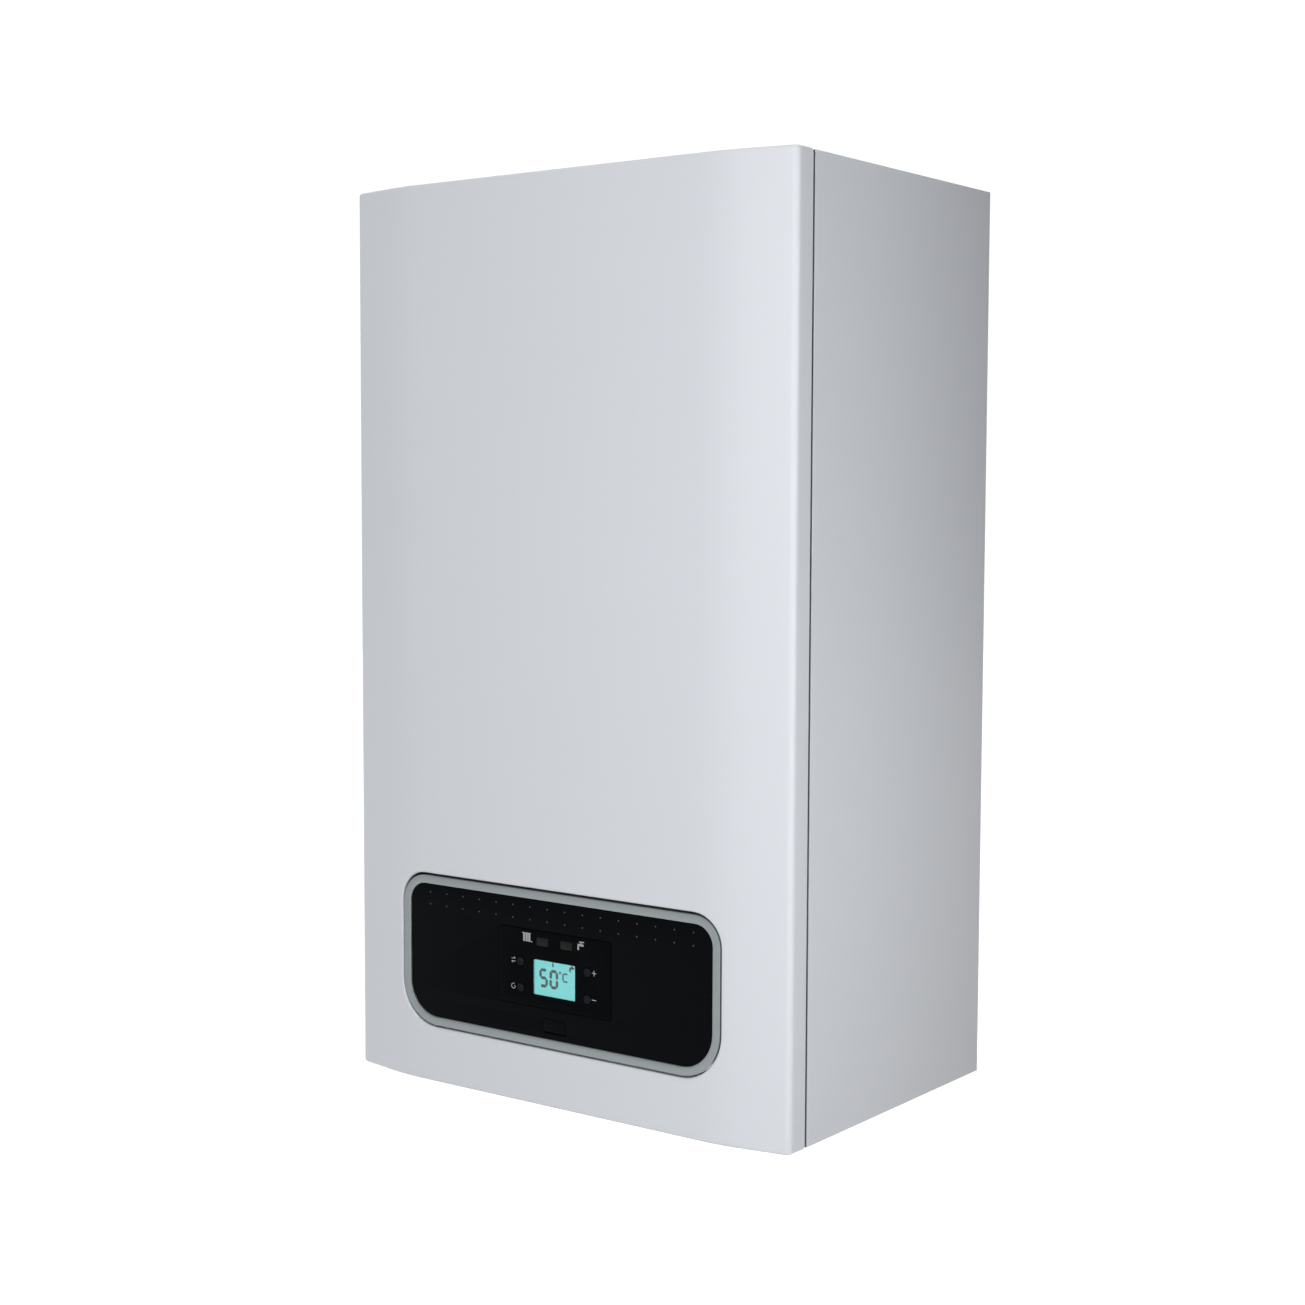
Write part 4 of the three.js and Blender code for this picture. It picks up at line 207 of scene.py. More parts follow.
BUTTON_PLASTIC = finish("button_moulding", (0.0034, 0.004, 0.0046), 0.4, grain=(1400.0, 0.05),
                        mottle=(30.0, 0.08), Specular_IOR_Level=0.09)
# painted highlight: the domes' grey is lighter than the black field round them, standing in for the glint
# each dome catches
DOT_GLINT_GREY = finish("dot_moulding", (0.022, 0.024, 0.026), 0.45, grain=(1400.0, 0.03),
                     mottle=(30.0, 0.08))
# painted shade: a dark grey for the strip laid in the seam between cover and side panels, where there is
# only shadow
SEAM_SHADE = finish("grey_edge_tape", (0.10, 0.105, 0.11), 0.6, grain=(900.0, 0.06), mottle=(40.0, 0.08))
MARK_INK = finish("pale_print", (0.36, 0.39, 0.40), 0.5, grain=(900.0, 0.02), mottle=(60.0, 0.06))


# ---------------------------------------------------------------- surfaces

def to_frame(points):
    """From the case's own measures (across, out from the wall, up, in mm) to metres from the bracket."""
    points = np.asarray(points, dtype=float)
    return np.stack([points[..., 0], -points[..., 1], points[..., 2] - HANG], axis=-1) / 1000


def skin(rings, loop=False, caps=True, open_around=False):
    """Quads between neighbouring rings of a grid; both ends are filled unless the rings run in a loop."""
    rings = np.asarray(rings, dtype=float)
    count, around = rings.shape[:2]
    index = np.arange(count * around).reshape(count, around)
    rows = np.arange(count if loop else count - 1)
    after = (rows + 1) % count
    columns = np.arange(around - 1 if open_around else around)
    beside = (columns + 1) % around
    quads = np.stack([index[rows][:, columns], index[rows][:, beside],
                      index[after][:, beside], index[after][:, columns]], axis=-1).reshape(-1, 4).tolist()
    if caps and not loop and not open_around:
        quads.append(index[0][::-1].tolist())
        quads.append(index[-1].tolist())
    return rings.reshape(-1, 3), quads


def joined(shells):
    """Several shells as one list of points and faces."""
    points = []
    faces = []
    start = 0
    for shell_points, shell_faces in shells:
        points.append(shell_points)
        faces.extend([[start + corner for corner in face] for face in shell_faces])
        start += len(shell_points)
    return np.concatenate(points), faces


def piece(name, shells, body, material, nodes=()):
    """Puts shells into one mesh, merges what meets, turns faces out and hangs the piece on its body."""
    points, faces = joined(shells)
    mesh = bpy.data.meshes.new(name)
    mesh.from_pydata(to_frame(points).tolist(), [], faces)
    work = bmesh.new()
    work.from_mesh(mesh)
    bmesh.ops.remove_doubles(work, verts=work.verts, dist=WELD)
    bmesh.ops.recalc_face_normals(work, faces=work.faces)
    work.to_mesh(mesh)
    work.free()
    mesh.shade_smooth()
    mesh.set_sharp_from_angle(angle=CREASE)
    made = bpy.data.objects.new(name, mesh)
    bpy.context.scene.collection.objects.link(made)
    mesh.materials.append(MATERIALS[material] if isinstance(material, str) else material)
    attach(made, body)
    if nodes:
        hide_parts(*nodes)
    return made


def rounded(corners, radius, steps=5):
    """An open profile whose inner corners are replaced by arcs that touch both sides."""
    corners = [np.asarray(corner, dtype=float) for corner in corners]
    points = [corners[0][None]]
    radii = radius if isinstance(radius, (list, tuple)) else [radius] * (len(corners) - 2)
    for before, corner, after, size in zip(corners, corners[1:], corners[2:], radii):
        back_length = np.linalg.norm(before - corner)
        ahead_length = np.linalg.norm(after - corner)
        back = (before - corner) / back_length
        ahead = (after - corner) / ahead_length
        half = math.acos(max(-1.0, min(1.0, float(back @ ahead)))) / 2
        if size <= 0 or half > math.radians(89.5):
            points.append(corner[None])
            continue
        reach = min(size / math.tan(half), 0.49 * back_length, 0.49 * ahead_length)
        size = reach * math.tan(half)
        middle = corner + (back + ahead) / np.linalg.norm(back + ahead) * size / math.sin(half)
        first = corner + back * reach - middle
        last = corner + ahead * reach - middle
        sweep = math.pi - 2 * half
        turn = np.linspace(0, 1, steps + 1)[:, None]
        arc = np.sin((1 - turn) * sweep) * first + np.sin(turn * sweep) * last
        points.append(middle + arc / math.sin(sweep))
    points.append(corners[-1][None])
    return np.concatenate(points)


AXES = {
    "out": (np.array([1.0, 0, 0]), np.array([0, 0, 1.0]), np.array([0, 1.0, 0])),
    "up": (np.array([1.0, 0, 0]), np.array([0, 1.0, 0]), np.array([0, 0, 1.0])),
    "across": (np.array([0, 1.0, 0]), np.array([0, 0, 1.0]), np.array([1.0, 0, 0])),
}


def turned(centre, axis, profile, sides=48, hollow=False):
    """A lathe form: each profile point (radius, height) goes round the axis; a loop leaves a hole."""
    first, second, along = AXES[axis]
    profile = np.asarray(profile, dtype=float)
    turn = np.arange(sides) * 2 * math.pi / sides
    circle = np.cos(turn)[:, None] * first + np.sin(turn)[:, None] * second
    rings = profile[:, 0, None, None] * circle[None] + profile[:, 1, None, None] * along
    return skin(rings + np.asarray(centre, dtype=float), loop=hollow)


def outline(half, low, high, low_radius, high_radius, inset=0.0, steps=10, middle=0.0):
    """A rectangle with round corners in the plane across and up; an inset keeps the corners' middles."""
    quarter = np.linspace(0, math.pi / 2, steps + 1)
    corners = (
        (middle + half - high_radius, high - high_radius, high_radius, 0.0),
        (middle - half + high_radius, high - high_radius, high_radius, math.pi / 2),
        (middle - half + low_radius, low + low_radius, low_radius, math.pi),
        (middle + half - low_radius, low + low_radius, low_radius, 1.5 * math.pi),
    )
    parts = [np.stack([x + (radius - inset) * np.cos(start + quarter),
                       z + (radius - inset) * np.sin(start + quarter)], axis=-1)
             for x, z, radius, start in corners]
    return np.concatenate(parts)


def round_box(half, low, high, low_radius, high_radius, steps=6):
    """The round-cornered rectangle as a function of its inset."""
    def shape(inset):
        return outline(half, low, high, low_radius, high_radius, inset, steps)
    return shape


def round_box_at(middle, size, radius, steps=6):
    """The same by its middle and its size, with one radius."""
    across, up = size
    low = middle[1] - up / 2
    high = middle[1] + up / 2

    def shape(inset):
        return outline(across / 2, low, high, radius, radius, inset, steps, middle[0])
    return shape


def disc_at(centre, radius, sides=32):
    """A circle as a function of its inset."""
    turn = np.arange(sides) * 2 * math.pi / sides

    def shape(inset):
        return np.stack([centre[0] + (radius - inset) * np.cos(turn),
                         centre[1] + (radius - inset) * np.sin(turn)], axis=-1)
    return shape


def drawn_in(whole, margin):
    """A shape that starts a margin further in."""
    def shape(inset):
        return whole(margin + inset)
    return shape


def at_depth(flat, depth):
    """A flat outline (across, up) stood at one depth out from the wall."""
    return np.stack([flat[:, 0], np.full(len(flat), float(depth)), flat[:, 1]], axis=-1)


def carried(shape, profile, loop=False):
    """A profile of (inset, depth) carried round an outline that is given as a function of its inset."""
    rings = np.stack([at_depth(shape(inset), depth) for inset, depth in profile])
    return skin(rings, loop=loop)


def pierced(shape, holes, front, back, edge=0.6, hole_edge=0.3, steps=4):
    """A plate with round-edged outline and holes: rings down every wall, and flat faces between them."""
    shells = []
    quarter = np.linspace(0, math.pi / 2, steps + 1)
    walls = [(shape, edge, 1.0)] + [(hole, hole_edge, -1.0) for hole in holes]
    fronts = []
    backs = []
    for wall, size, side in walls:
        arc = [(side * size * (1 - math.sin(t)), front - size * (1 - math.cos(t))) for t in quarter]
        rings = [at_depth(wall(inset), depth) for inset, depth in arc] + [at_depth(wall(0.0), back)]
        shells.append(skin(np.stack(rings), caps=False))
        fronts.append(rings[0])
        backs.append(rings[-1])
    for loops in (fronts, backs):
        lines = [[Vector((point[0], point[2], 0.0)) for point in loop] for loop in loops]
        faces = [list(face) for face in tessellate_polygon(lines)]
        shells.append((np.concatenate(loops), faces))
    return shells


def swung(vector, axle, turn):
    """A vector turned about an axle by a whole column of angles."""
    flat = np.dot(vector, axle) * axle
    cross = np.cross(axle, vector)
    return flat + np.cos(turn) * (vector - flat) + np.sin(turn) * cross


def route(points, bend, steps=8):
    """A path of straights and arcs, with two cross directions that turn together round each bend."""
    points = [np.asarray(point, dtype=float) for point in points]
    heading = points[1] - points[0]
    heading /= np.linalg.norm(heading)
    side = np.cross(heading, [0.0, 0.0, 1.0])
    if np.linalg.norm(side) < 0.1:
        side = np.cross(heading, [1.0, 0.0, 0.0])
    side /= np.linalg.norm(side)
    lift = np.cross(side, heading)
    places = [points[0][None]]
    sides = [side[None]]
    lifts = [lift[None]]
    for before, corner, after in zip(points, points[1:], points[2:]):
        into = (corner - before) / np.linalg.norm(corner - before)
        away = (after - corner) / np.linalg.norm(after - corner)
        angle = math.acos(max(-1.0, min(1.0, float(into @ away))))
        if angle < 0.01:
            continue
        reach = min(bend * math.tan(angle / 2), 0.49 * np.linalg.norm(corner - before),
                    0.49 * np.linalg.norm(after - corner))
        radius = reach / math.tan(angle / 2)
        axle = np.cross(into, away)
        axle /= np.linalg.norm(axle)
        start = corner - into * reach
        pivot = start + np.cross(axle, into) * radius
        turn = np.linspace(0, angle, steps + 1)[:, None]
        places.append(pivot + swung(start - pivot, axle, turn))
        sides.append(swung(side, axle, turn))
        lifts.append(swung(lift, axle, turn))
        side = sides[-1][-1]
        lift = lifts[-1][-1]
    places.append(points[-1][None])
    sides.append(side[None])
    lifts.append(lift[None])
    return np.concatenate(places), np.concatenate(sides), np.concatenate(lifts)


def pipe(points, radius, bend, sides=28, bore=None, bore_depth=25.0):
    """A round section carried along a route of straights and bends; a bore sinks its first end."""
    places, one, two = route(points, bend)
    turn = np.arange(sides) * 2 * math.pi / sides
    circle = (np.cos(turn)[None, :, None] * one[:, None]
              + np.sin(turn)[None, :, None] * two[:, None])
    rings = places[:, None] + radius * circle
    if bore:
        along = (places[1] - places[0]) / np.linalg.norm(places[1] - places[0])
        mouth = places[0] + bore * circle[0]
        rings = np.concatenate([(mouth + along * bore_depth)[None], mouth[None], rings])
    return skin(rings)


def nut(centre, axis, radius, low, high):
    """A six-sided turned form whose corners are chamfered at both ends."""
    flat = 0.88 * radius
    chamfer = 1.2
    profile = [(0, low), (flat, low), (radius, low + chamfer), (radius, high - chamfer), (flat, high),
               (0, high)]
    return turned(centre, axis, profile, 6)


def cuff(centre, axis, radius, low, high):
    """A round sleeve with softened ends."""
    profile = rounded([(0, low), (radius, low), (radius, high), (0, high)], 1.2, 4)
    return turned(centre, axis, profile, 28)


def eased_copy(node, width):
    """A copy of a solid with its doubles merged and its edges eased, as folded or cast edges are."""
    source = frame["nodes"][node]
    mesh = source.data.copy()
    mesh.name = node + "_eased"
    work = bmesh.new()
    work.from_mesh(mesh)
    bmesh.ops.remove_doubles(work, verts=work.verts, dist=WELD)
    bmesh.ops.dissolve_limit(work, angle_limit=math.radians(0.5), verts=work.verts, edges=work.edges)
    work.to_mesh(mesh)
    work.free()
    mesh.shade_smooth()
    mesh.set_sharp_from_angle(angle=EASE_CREASE)
    made = bpy.data.objects.new(node + "_eased", mesh)
    bpy.context.scene.collection.objects.link(made)
    ease = made.modifiers.new("eased", "BEVEL")
    ease.width = width / 1000
    ease.segments = 2
    ease.limit_method = "ANGLE"
    ease.angle_limit = EASE_CREASE
    ease.harden_normals = True
    mesh.materials.clear()
    mesh.materials.append(MATERIALS[SLOTS[node]])
    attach(made, source.parent.name.removeprefix("body:"))
    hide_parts(node)


SLOTS = {part["node"]: part["material_slot"] for part in frame["record"]["subparts"]}
for node, solid in frame["nodes"].items():
    for seat in solid.material_slots:
        seat.material = MATERIALS[SLOTS[node]]
    if not solid.material_slots:
        solid.data.materials.append(MATERIALS[SLOTS[node]])


# ---------------------------------------------------------------- front cover

FLAT = 132.7  # half the cover's flat middle
BEND_RADIUS = 200.0
BEND_TURN = math.radians(10.5)
ROUND = 5.0  # radius of the long edges
TOP_ROUND = 2.5  # radius of the top and bottom edges
SLOPE_WIDTH = COVER_HALF - ROUND * (1 - math.sin(BEND_TURN)) - FLAT - BEND_RADIUS * math.sin(BEND_TURN)
SLOPE = SLOPE_WIDTH / math.cos(BEND_TURN)
BENT = FLAT + BEND_RADIUS * BEND_TURN
EDGE = BENT + SLOPE
CORNER = EDGE + ROUND * (math.pi / 2 - BEND_TURN)
SEAM_HEIGHT = 172.0  # where the field round the window ends and the plain one starts
WINDOW_STEPS = 24
WINDOW = round_box(BAND["half"] + 1.3, BAND["low"] - 1.3, BAND["high"] + 2.0, BAND["low_radius"] + 1.3,
                   BAND["high_radius"] + 1.6, WINDOW_STEPS)
WINDOW_ROLL = 1.6  # radius of the window's rolled edge
WINDOW_DEPTH = 4.0  # how far the window's edge is turned in
LIP_HALF = 183.0
LIP_LOW = 9.0
LIP_HIGH = COVER_TOP - 22
SHEET = 0.001  # the sheet's wall, in metres
QUARTER = np.linspace(0, math.pi / 2, 7)


def cover_line(s):
    """Across the cover by the length s along its skin: flat, wide bend, straight, round edge, return."""
    run = np.abs(s)
    bend = np.clip(run - FLAT, 0, BEND_RADIUS * BEND_TURN) / BEND_RADIUS
    slope = np.clip(run - BENT, 0, SLOPE)
    edge = np.clip(run - EDGE, 0, ROUND * (math.pi / 2 - BEND_TURN)) / ROUND
    back = np.clip(run - CORNER, 0, None)
    x = (np.minimum(run, FLAT) + BEND_RADIUS * np.sin(bend) + slope * math.cos(BEND_TURN)
         + ROUND * (np.sin(BEND_TURN + edge) - math.sin(BEND_TURN)))
    depth = (COVER_FACE - BEND_RADIUS * (1 - np.cos(bend)) - slope * math.sin(BEND_TURN)
             - ROUND * (math.cos(BEND_TURN) - np.cos(BEND_TURN + edge)) - back)
    lean = bend + edge
    return np.sign(s) * x, depth, np.sign(s) * np.sin(lean), np.cos(lean)


RETURN_END = CORNER + float(cover_line(np.array([CORNER]))[1][0]) - COVER_BACK


def cover_skin(s, z, sunk):
    """Points on the cover's skin by length, height and how far they are sunk along the skin's normal."""
    x, depth, nx, nd = cover_line(s)
    return np.stack([x - sunk * nx, depth - sunk * nd, z + 0 * s], axis=-1)


def cover_sheet(s, heights, sunk):
    """A grid on the cover's skin: the lengths run along each row, which has one height and one sink."""
    lengths = s[None] + 0 * heights[:, None]
    return skin(cover_skin(lengths, heights[:, None] + 0 * lengths, sunk[:, None] + 0 * lengths),
                open_around=True)


def resampled(line, where):
    """Points of a closed line at shares of its length."""
    closed = np.concatenate([line, line[:1]])
    lengths = np.concatenate([[0], np.cumsum(np.linalg.norm(np.diff(closed, axis=0), axis=1))])
    where = np.mod(where, 1.0) * lengths[-1]
    return np.stack([np.interp(where, lengths, closed[:, 0]),
                     np.interp(where, lengths, closed[:, 1])], axis=-1)


def window_lines(up, wide):
    """The window's edge before and after its roll, with as many points as the field's border has.

    The middles of the four round corners get the border's four corners; between them the points are even.
    """
    ring = WINDOW(0.0)
    steps = np.linalg.norm(np.diff(np.concatenate([ring, ring[:1]]), axis=0), axis=1)
    lengths = np.concatenate([[0], np.cumsum(steps)]) / steps.sum()
    corners = [lengths[WINDOW_STEPS // 2 + number * (WINDOW_STEPS + 1)] for number in range(4)]
    marks = [corners[3] - 1.0, *corners]
    where = np.concatenate([np.linspace(start, end, count, endpoint=False)
                            for start, end, count in zip(marks, marks[1:], (up, wide, up, wide))])
    return resampled(WINDOW(-WINDOW_ROLL), where), resampled(ring, where)


def lower_field(across, heights):
    """The face round the window: straight lines from its border to the window, then the rolled edge."""
    up = len(heights) - 1
    wide = len(across) - 1
    # the border runs counter-clockwise from its lower right corner
    border = np.concatenate([
        np.stack([np.full(up, EDGE), heights[:-1]], axis=-1),
        np.stack([across[::-1][:-1], np.full(wide, SEAM_HEIGHT)], axis=-1),
        np.stack([np.full(up, -EDGE), heights[::-1][:-1]], axis=-1),
        np.stack([across[:-1], np.full(wide, heights[0])], axis=-1),
    ])
    outer, inner = window_lines(up, wide)
    level = np.ones((len(border), 1))
    rings = [np.concatenate([border * (1 - t) + outer * t, 0 * level], axis=-1)
             for t in np.linspace(0, 1, 15)]
    for t in QUARTER[1:]:
        flat = outer * (1 - math.sin(t)) + inner * math.sin(t)
        rings.append(np.concatenate([flat, WINDOW_ROLL * (1 - math.cos(t)) * level], axis=-1))
    rings.append(np.concatenate([inner, WINDOW_DEPTH * level], axis=-1))
    field = np.stack(rings)
    return skin(cover_skin(field[..., 0], field[..., 1], field[..., 2]), caps=False)


def end_plate(full, height):
    """The cover's top or bottom plate, ruled from its round edge straight back."""
    share = np.linspace(0, 1, 5)[:, None, None]
    front = cover_skin(full, np.full(len(full), height), TOP_ROUND)
    rear = front.copy()
    rear[:, 1] = COVER_BACK
    return skin(front[None] * (1 - share) + rear[None] * share, open_around=True)


def cover_lip(full, heights, sunk):
    """The lip turned in all round the back: the rear outline drawn straight in to a smaller rectangle."""
    back = cover_skin(full, 0 * full, TOP_ROUND)[:, 0]
    side = COVER_HALF - sunk
    loop = np.concatenate([
        np.stack([side, heights], axis=-1),
        np.stack([back[::-1], np.full(len(full), COVER_TOP)], axis=-1)[1:],
        np.stack([-side[::-1], heights[::-1]], axis=-1)[1:],
        np.stack([back, np.zeros(len(full))], axis=-1)[1:-1],
    ])
    inner = np.stack([np.clip(loop[:, 0], -LIP_HALF, LIP_HALF),
                      np.clip(loop[:, 1], LIP_LOW, LIP_HIGH)], axis=-1)
    rings = [at_depth(loop * (1 - t) + inner * t, COVER_BACK) for t in (0.0, 0.5, 1.0)]
    return skin(np.stack(rings), caps=False)


def front_cover():
    """The cover's outer skin as sheets that meet point by point; a Solidify modifier gives its wall."""
    side = np.linspace(FLAT, EDGE, 21)
    across = np.concatenate([-side[::-1], np.linspace(-FLAT, FLAT, 25)[1:-1], side])
    turns = np.linspace(EDGE, CORNER, 9)
    strip = np.concatenate([turns, np.linspace(CORNER, RETURN_END, 5)[1:]])
    full = np.concatenate([-turns[::-1], across[1:-1], turns])
    # the top and bottom edges: how far in from the end each row lies, and how far it is sunk
    row_in = TOP_ROUND * (1 - np.sin(QUARTER))
    row_sunk = TOP_ROUND * (1 - np.cos(QUARTER))
    low = row_in[::-1]
    low_sunk = row_sunk[::-1]
    heights = np.linspace(low[-1], SEAM_HEIGHT, 35)
    high = COVER_TOP - row_in
    rise = np.concatenate([np.linspace(SEAM_HEIGHT, high[0], 40), high[1:]])
    rise_sunk = np.concatenate([np.zeros(40), row_sunk[1:]])
    all_heights = np.concatenate([low[:-1], heights, rise[1:]])
    all_sunk = np.concatenate([low_sunk[:-1], 0 * heights, rise_sunk[1:]])
    shells = [lower_field(across, heights)]
    shells.append(cover_sheet(across, rise, rise_sunk))
    shells.append(cover_sheet(across, low, low_sunk))
    shells += [cover_sheet(hand * strip, all_heights, all_sunk) for hand in (-1, 1)]
    shells += [end_plate(full, height) for height in (COVER_TOP, 0.0)]
    shells.append(cover_lip(full, all_heights, all_sunk))
    made = piece("cover_shell", shells, "cover", "white_paint", ["front_cover"])
    wall = made.modifiers.new("sheet", "SOLIDIFY")
    wall.thickness = SHEET
    wall.offset = -1.0
    wall.use_even_offset = True


def cover_studs():
    """Four round-ended pins behind the cover's lip, which the case's holes take."""
    profile = rounded([(0, 246.0), (2.5, 246.0), (2.5, 257.0), (0, 257.0)], 0.8, 3)
    studs = [turned((x, 0, z), "out", profile, 20) for x in (-197.0, 197.0) for z in (60.0, 632.0)]
    piece("cover_studs", studs, "cover", "galvanised")


front_cover()
cover_studs()


# ---------------------------------------------------------------- control panel

BAND_SHAPE = round_box(**BAND, steps=20)
RIM_WIDTH = 6.5
RIM_FRONT = 283.4
RIM_BACK = 277.0
RIM_SHOULDER = 0.9  # width of the rim's softened edges
FASCIA_FRONT = 282.0
FASCIA_BACK = 274.0
OVERLAY_FRONT = 282.1
OVERLAY_BACK = 279.0
PANEL_GAP = 0.35  # between the black field and what sits in it
MIDDLE = dict(half=54.0, low=74.0, high=132.0, low_radius=3.0, high_radius=3.0)
DOT_ROWS = (149.0, 139.5)
DOT_START = -124.0
DOT_PITCH = 16.75
DOT_COUNT = 16
SCREEN = (0, 96.7)
LAMPS = [(-11.5, 124.0), (11.5, 124.0)]
BUTTONS = {"mode_button": (-32.0, 107.0), "reset_button": (-32.0, 87.0), "plus_button": (32.0, 107.0),
           "minus_button": (32.0, 87.0)}
PLATE_FRONT = 280.5
INK_FRONT = 280.66
KNUCKLE = dict(depth=280.5, height=57.4, radius=1.4)
LEAF_HALF = 11.0
LEAF_HIGH = 66.1


def rim():
    """A crowned band carried round the panel: its section is a rounded rectangle with a low arch on top."""
    half = RIM_WIDTH / 2
    wide = np.linspace(RIM_SHOULDER, RIM_WIDTH - RIM_SHOULDER, 7)
    arch = [(w, RIM_FRONT + 0.25 - 0.25 * ((w - half) / half) ** 2 - 0.2) for w in wide]
    outer = [(0.0, RIM_BACK), (0.0, RIM_FRONT - 0.2), (RIM_SHOULDER, RIM_FRONT - 0.1)]
    inner = [(RIM_WIDTH - RIM_SHOULDER, RIM_FRONT - 0.1), (RIM_WIDTH, RIM_FRONT - 0.4),
             (RIM_WIDTH, RIM_BACK)]
    section = rounded(outer, 0.6, 4).tolist() + arch + rounded(inner, 0.5, 4).tolist()[1:]
    piece("panel_rim", [carried(BAND_SHAPE, section, loop=True)], "control_box", "silver_plastic",
          ["fascia_rim"])


def dots():
    """Two rows of small raised domes in a grey lighter than the black field, a painted glint for the
    highlight each catches: the same cap of a sphere set down thirty-two times.
    """
    profile = [(0.68, FASCIA_FRONT - 0.3), (0.68, FASCIA_FRONT), (0.6, FASCIA_FRONT + 0.14),
               (0.38, FASCIA_FRONT + 0.24), (0.0, FASCIA_FRONT + 0.28)]
    shells = [turned((DOT_START + DOT_PITCH * column, 0, row), "out", profile, 12)
              for row in DOT_ROWS for column in range(DOT_COUNT)]
    piece("panel_dots", shells, "control_box", DOT_GLINT_GREY)


def fascia():
    """The black field inside the rim, with a pocket for the glossy middle and a hole for the flap."""
    pocket = drawn_in(round_box(**MIDDLE), -PANEL_GAP)
    port = round_box(LEAF_HALF + PANEL_GAP, 55.5, LEAF_HIGH + PANEL_GAP, PANEL_GAP, 1 + PANEL_GAP)
    shape = drawn_in(BAND_SHAPE, RIM_WIDTH + 0.25)
    shells = pierced(shape, [pocket, port], FASCIA_FRONT, FASCIA_BACK, 0.5, 0.3)
    piece("panel_fascia", shells, "control_box", "black_plastic", ["control_fascia"])


def overlay():
    """The glossy middle, pierced for the display, the four buttons and the two lamps."""
    holes = [round_box_at(SCREEN, (39.9, 26.9), 0.6, 3)]
    holes += [disc_at(centre, 3.6) for centre in BUTTONS.values()]
    holes += [round_box_at(centre, (11.4, 6.9), 1.2) for centre in LAMPS]
    shells = pierced(round_box(**MIDDLE), holes, OVERLAY_FRONT, OVERLAY_BACK, 0.3, 0.25)
    piece("panel_middle", shells, "control_box", "gloss_black", ["control_overlay"])


SEGMENTS = {"5": "acdfg", "0": "abcdef"}


def bar(x, z, length, height, upright):
    """One display segment: a thin bar with pointed ends."""
    half = length / 2
    wide = height / 2
    flat = np.array([(-half, 0), (-half + wide, -wide), (half - wide, -wide), (half, 0),
                     (half - wide, wide), (-half + wide, wide)])
    if upright:
        flat = flat[:, ::-1] * [1, -1]
    flat = flat + [x, z]
    return skin(np.stack([at_depth(flat, INK_FRONT - 0.12), at_depth(flat, INK_FRONT)]))


def digit(mark, x, z, wide, tall):
    """A figure of up to seven bars, set round its middle at half its height and half its width."""
    half = tall / 2
    width = 0.185 * tall
    spots = {"a": (x, z + half, wide, False), "g": (x, z, wide, False), "d": (x, z - half, wide, False),
             "f": (x - wide / 2, z + half / 2, half, True), "b": (x + wide / 2, z + half / 2, half, True),
             "e": (x - wide / 2, z - half / 2, half, True), "c": (x + wide / 2, z - half / 2, half, True)}
    shells = []
    for name in SEGMENTS[mark]:
        across, up, length, upright = spots[name]
        shells.append(bar(across, up, length * 0.94, width, upright))
    return shells


def display():
    """The lit screen: a glowing plate, dark segments on it and a clear window in front."""
    plate = carried(round_box_at(SCREEN, (40.0, 27.0), 0.5, 3),
                    [(0.3, 276.2), (0.0, 276.5), (0.0, 280.2), (0.3, PLATE_FRONT)])
    piece("display_plate", [plate], "control_box", BACKLIGHT, ["lcd_module"])
    marks = digit("5", -11.0, SCREEN[1], 6.0, 12.2) + digit("0", -1.1, SCREEN[1], 6.0, 12.2)
    section = [(0.0, PLATE_FRONT), (0.0, INK_FRONT), (0.6, INK_FRONT), (0.6, PLATE_FRONT)]
    degree = carried(disc_at((4.9, 102.6), 1.15, 20), section, loop=True)
    unit = [bar(10.0, 102.4, 4.4, 1.2, False), bar(10.0, 96.6, 4.4, 1.2, False),
            bar(7.7, 99.5, 5.4, 1.2, True)]
    # a tick over the figures and a small tap in the corner
    signs = [bar(-2.0, 107.6, 3.4, 1.4, True), bar(16.2, 107.6, 4.8, 1.8, False),
             bar(14.4, 105.9, 3.2, 1.7, True), bar(16.4, 109.0, 1.8, 1.3, True)]
    piece("display_marks", marks + [degree] + unit + signs, "control_box", SEGMENT_INK)
    lens = carried(round_box_at(SCREEN, (39.4, 26.4), 0.5, 3), [(0.0, 281.0), (0.0, 281.9), (0.2, 282.1)])
    piece("display_window", [lens], "control_box", "display_glass", ["lcd_lens"])


def buttons():
    """Round caps with a shallow dish in the middle and a rounded rim."""
    corners = [(0.0, 277.4), (3.3, 277.4), (3.3, 283.1), (2.2, 283.0), (0.0, 282.75)]
    profile = rounded(corners, [0.3, 0.55, 0.8], 4)
    for name, (x, z) in BUTTONS.items():
        cap = turned((x, 0, z), "out", profile, 40)
        piece(name + "_cap", [cap], name, BUTTON_PLASTIC, [name])


def lamps():
    """Two smoked windows whose guides run back to the board behind."""
    profile = [(0.0, 265.4), (0.0, 281.9), (0.12, 282.05), (0.35, 282.1)]
    shells = [carried(round_box_at(centre, (11.0, 6.5), 1.0), profile) for centre in LAMPS]
    piece("lamp_windows", shells, "control_box", LAMP_GLASS, ["indicator_light_guide"])


def stroke(start, end, width=0.55):
    """A printed line: a thin rectangle between two points."""
    start = np.array(start, dtype=float)
    end = np.array(end, dtype=float)
    way = (end - start) / np.linalg.norm(end - start)
    side = np.array([-way[1], way[0]]) * width / 2
    return np.stack([start - side, end - side, end + side, start + side])


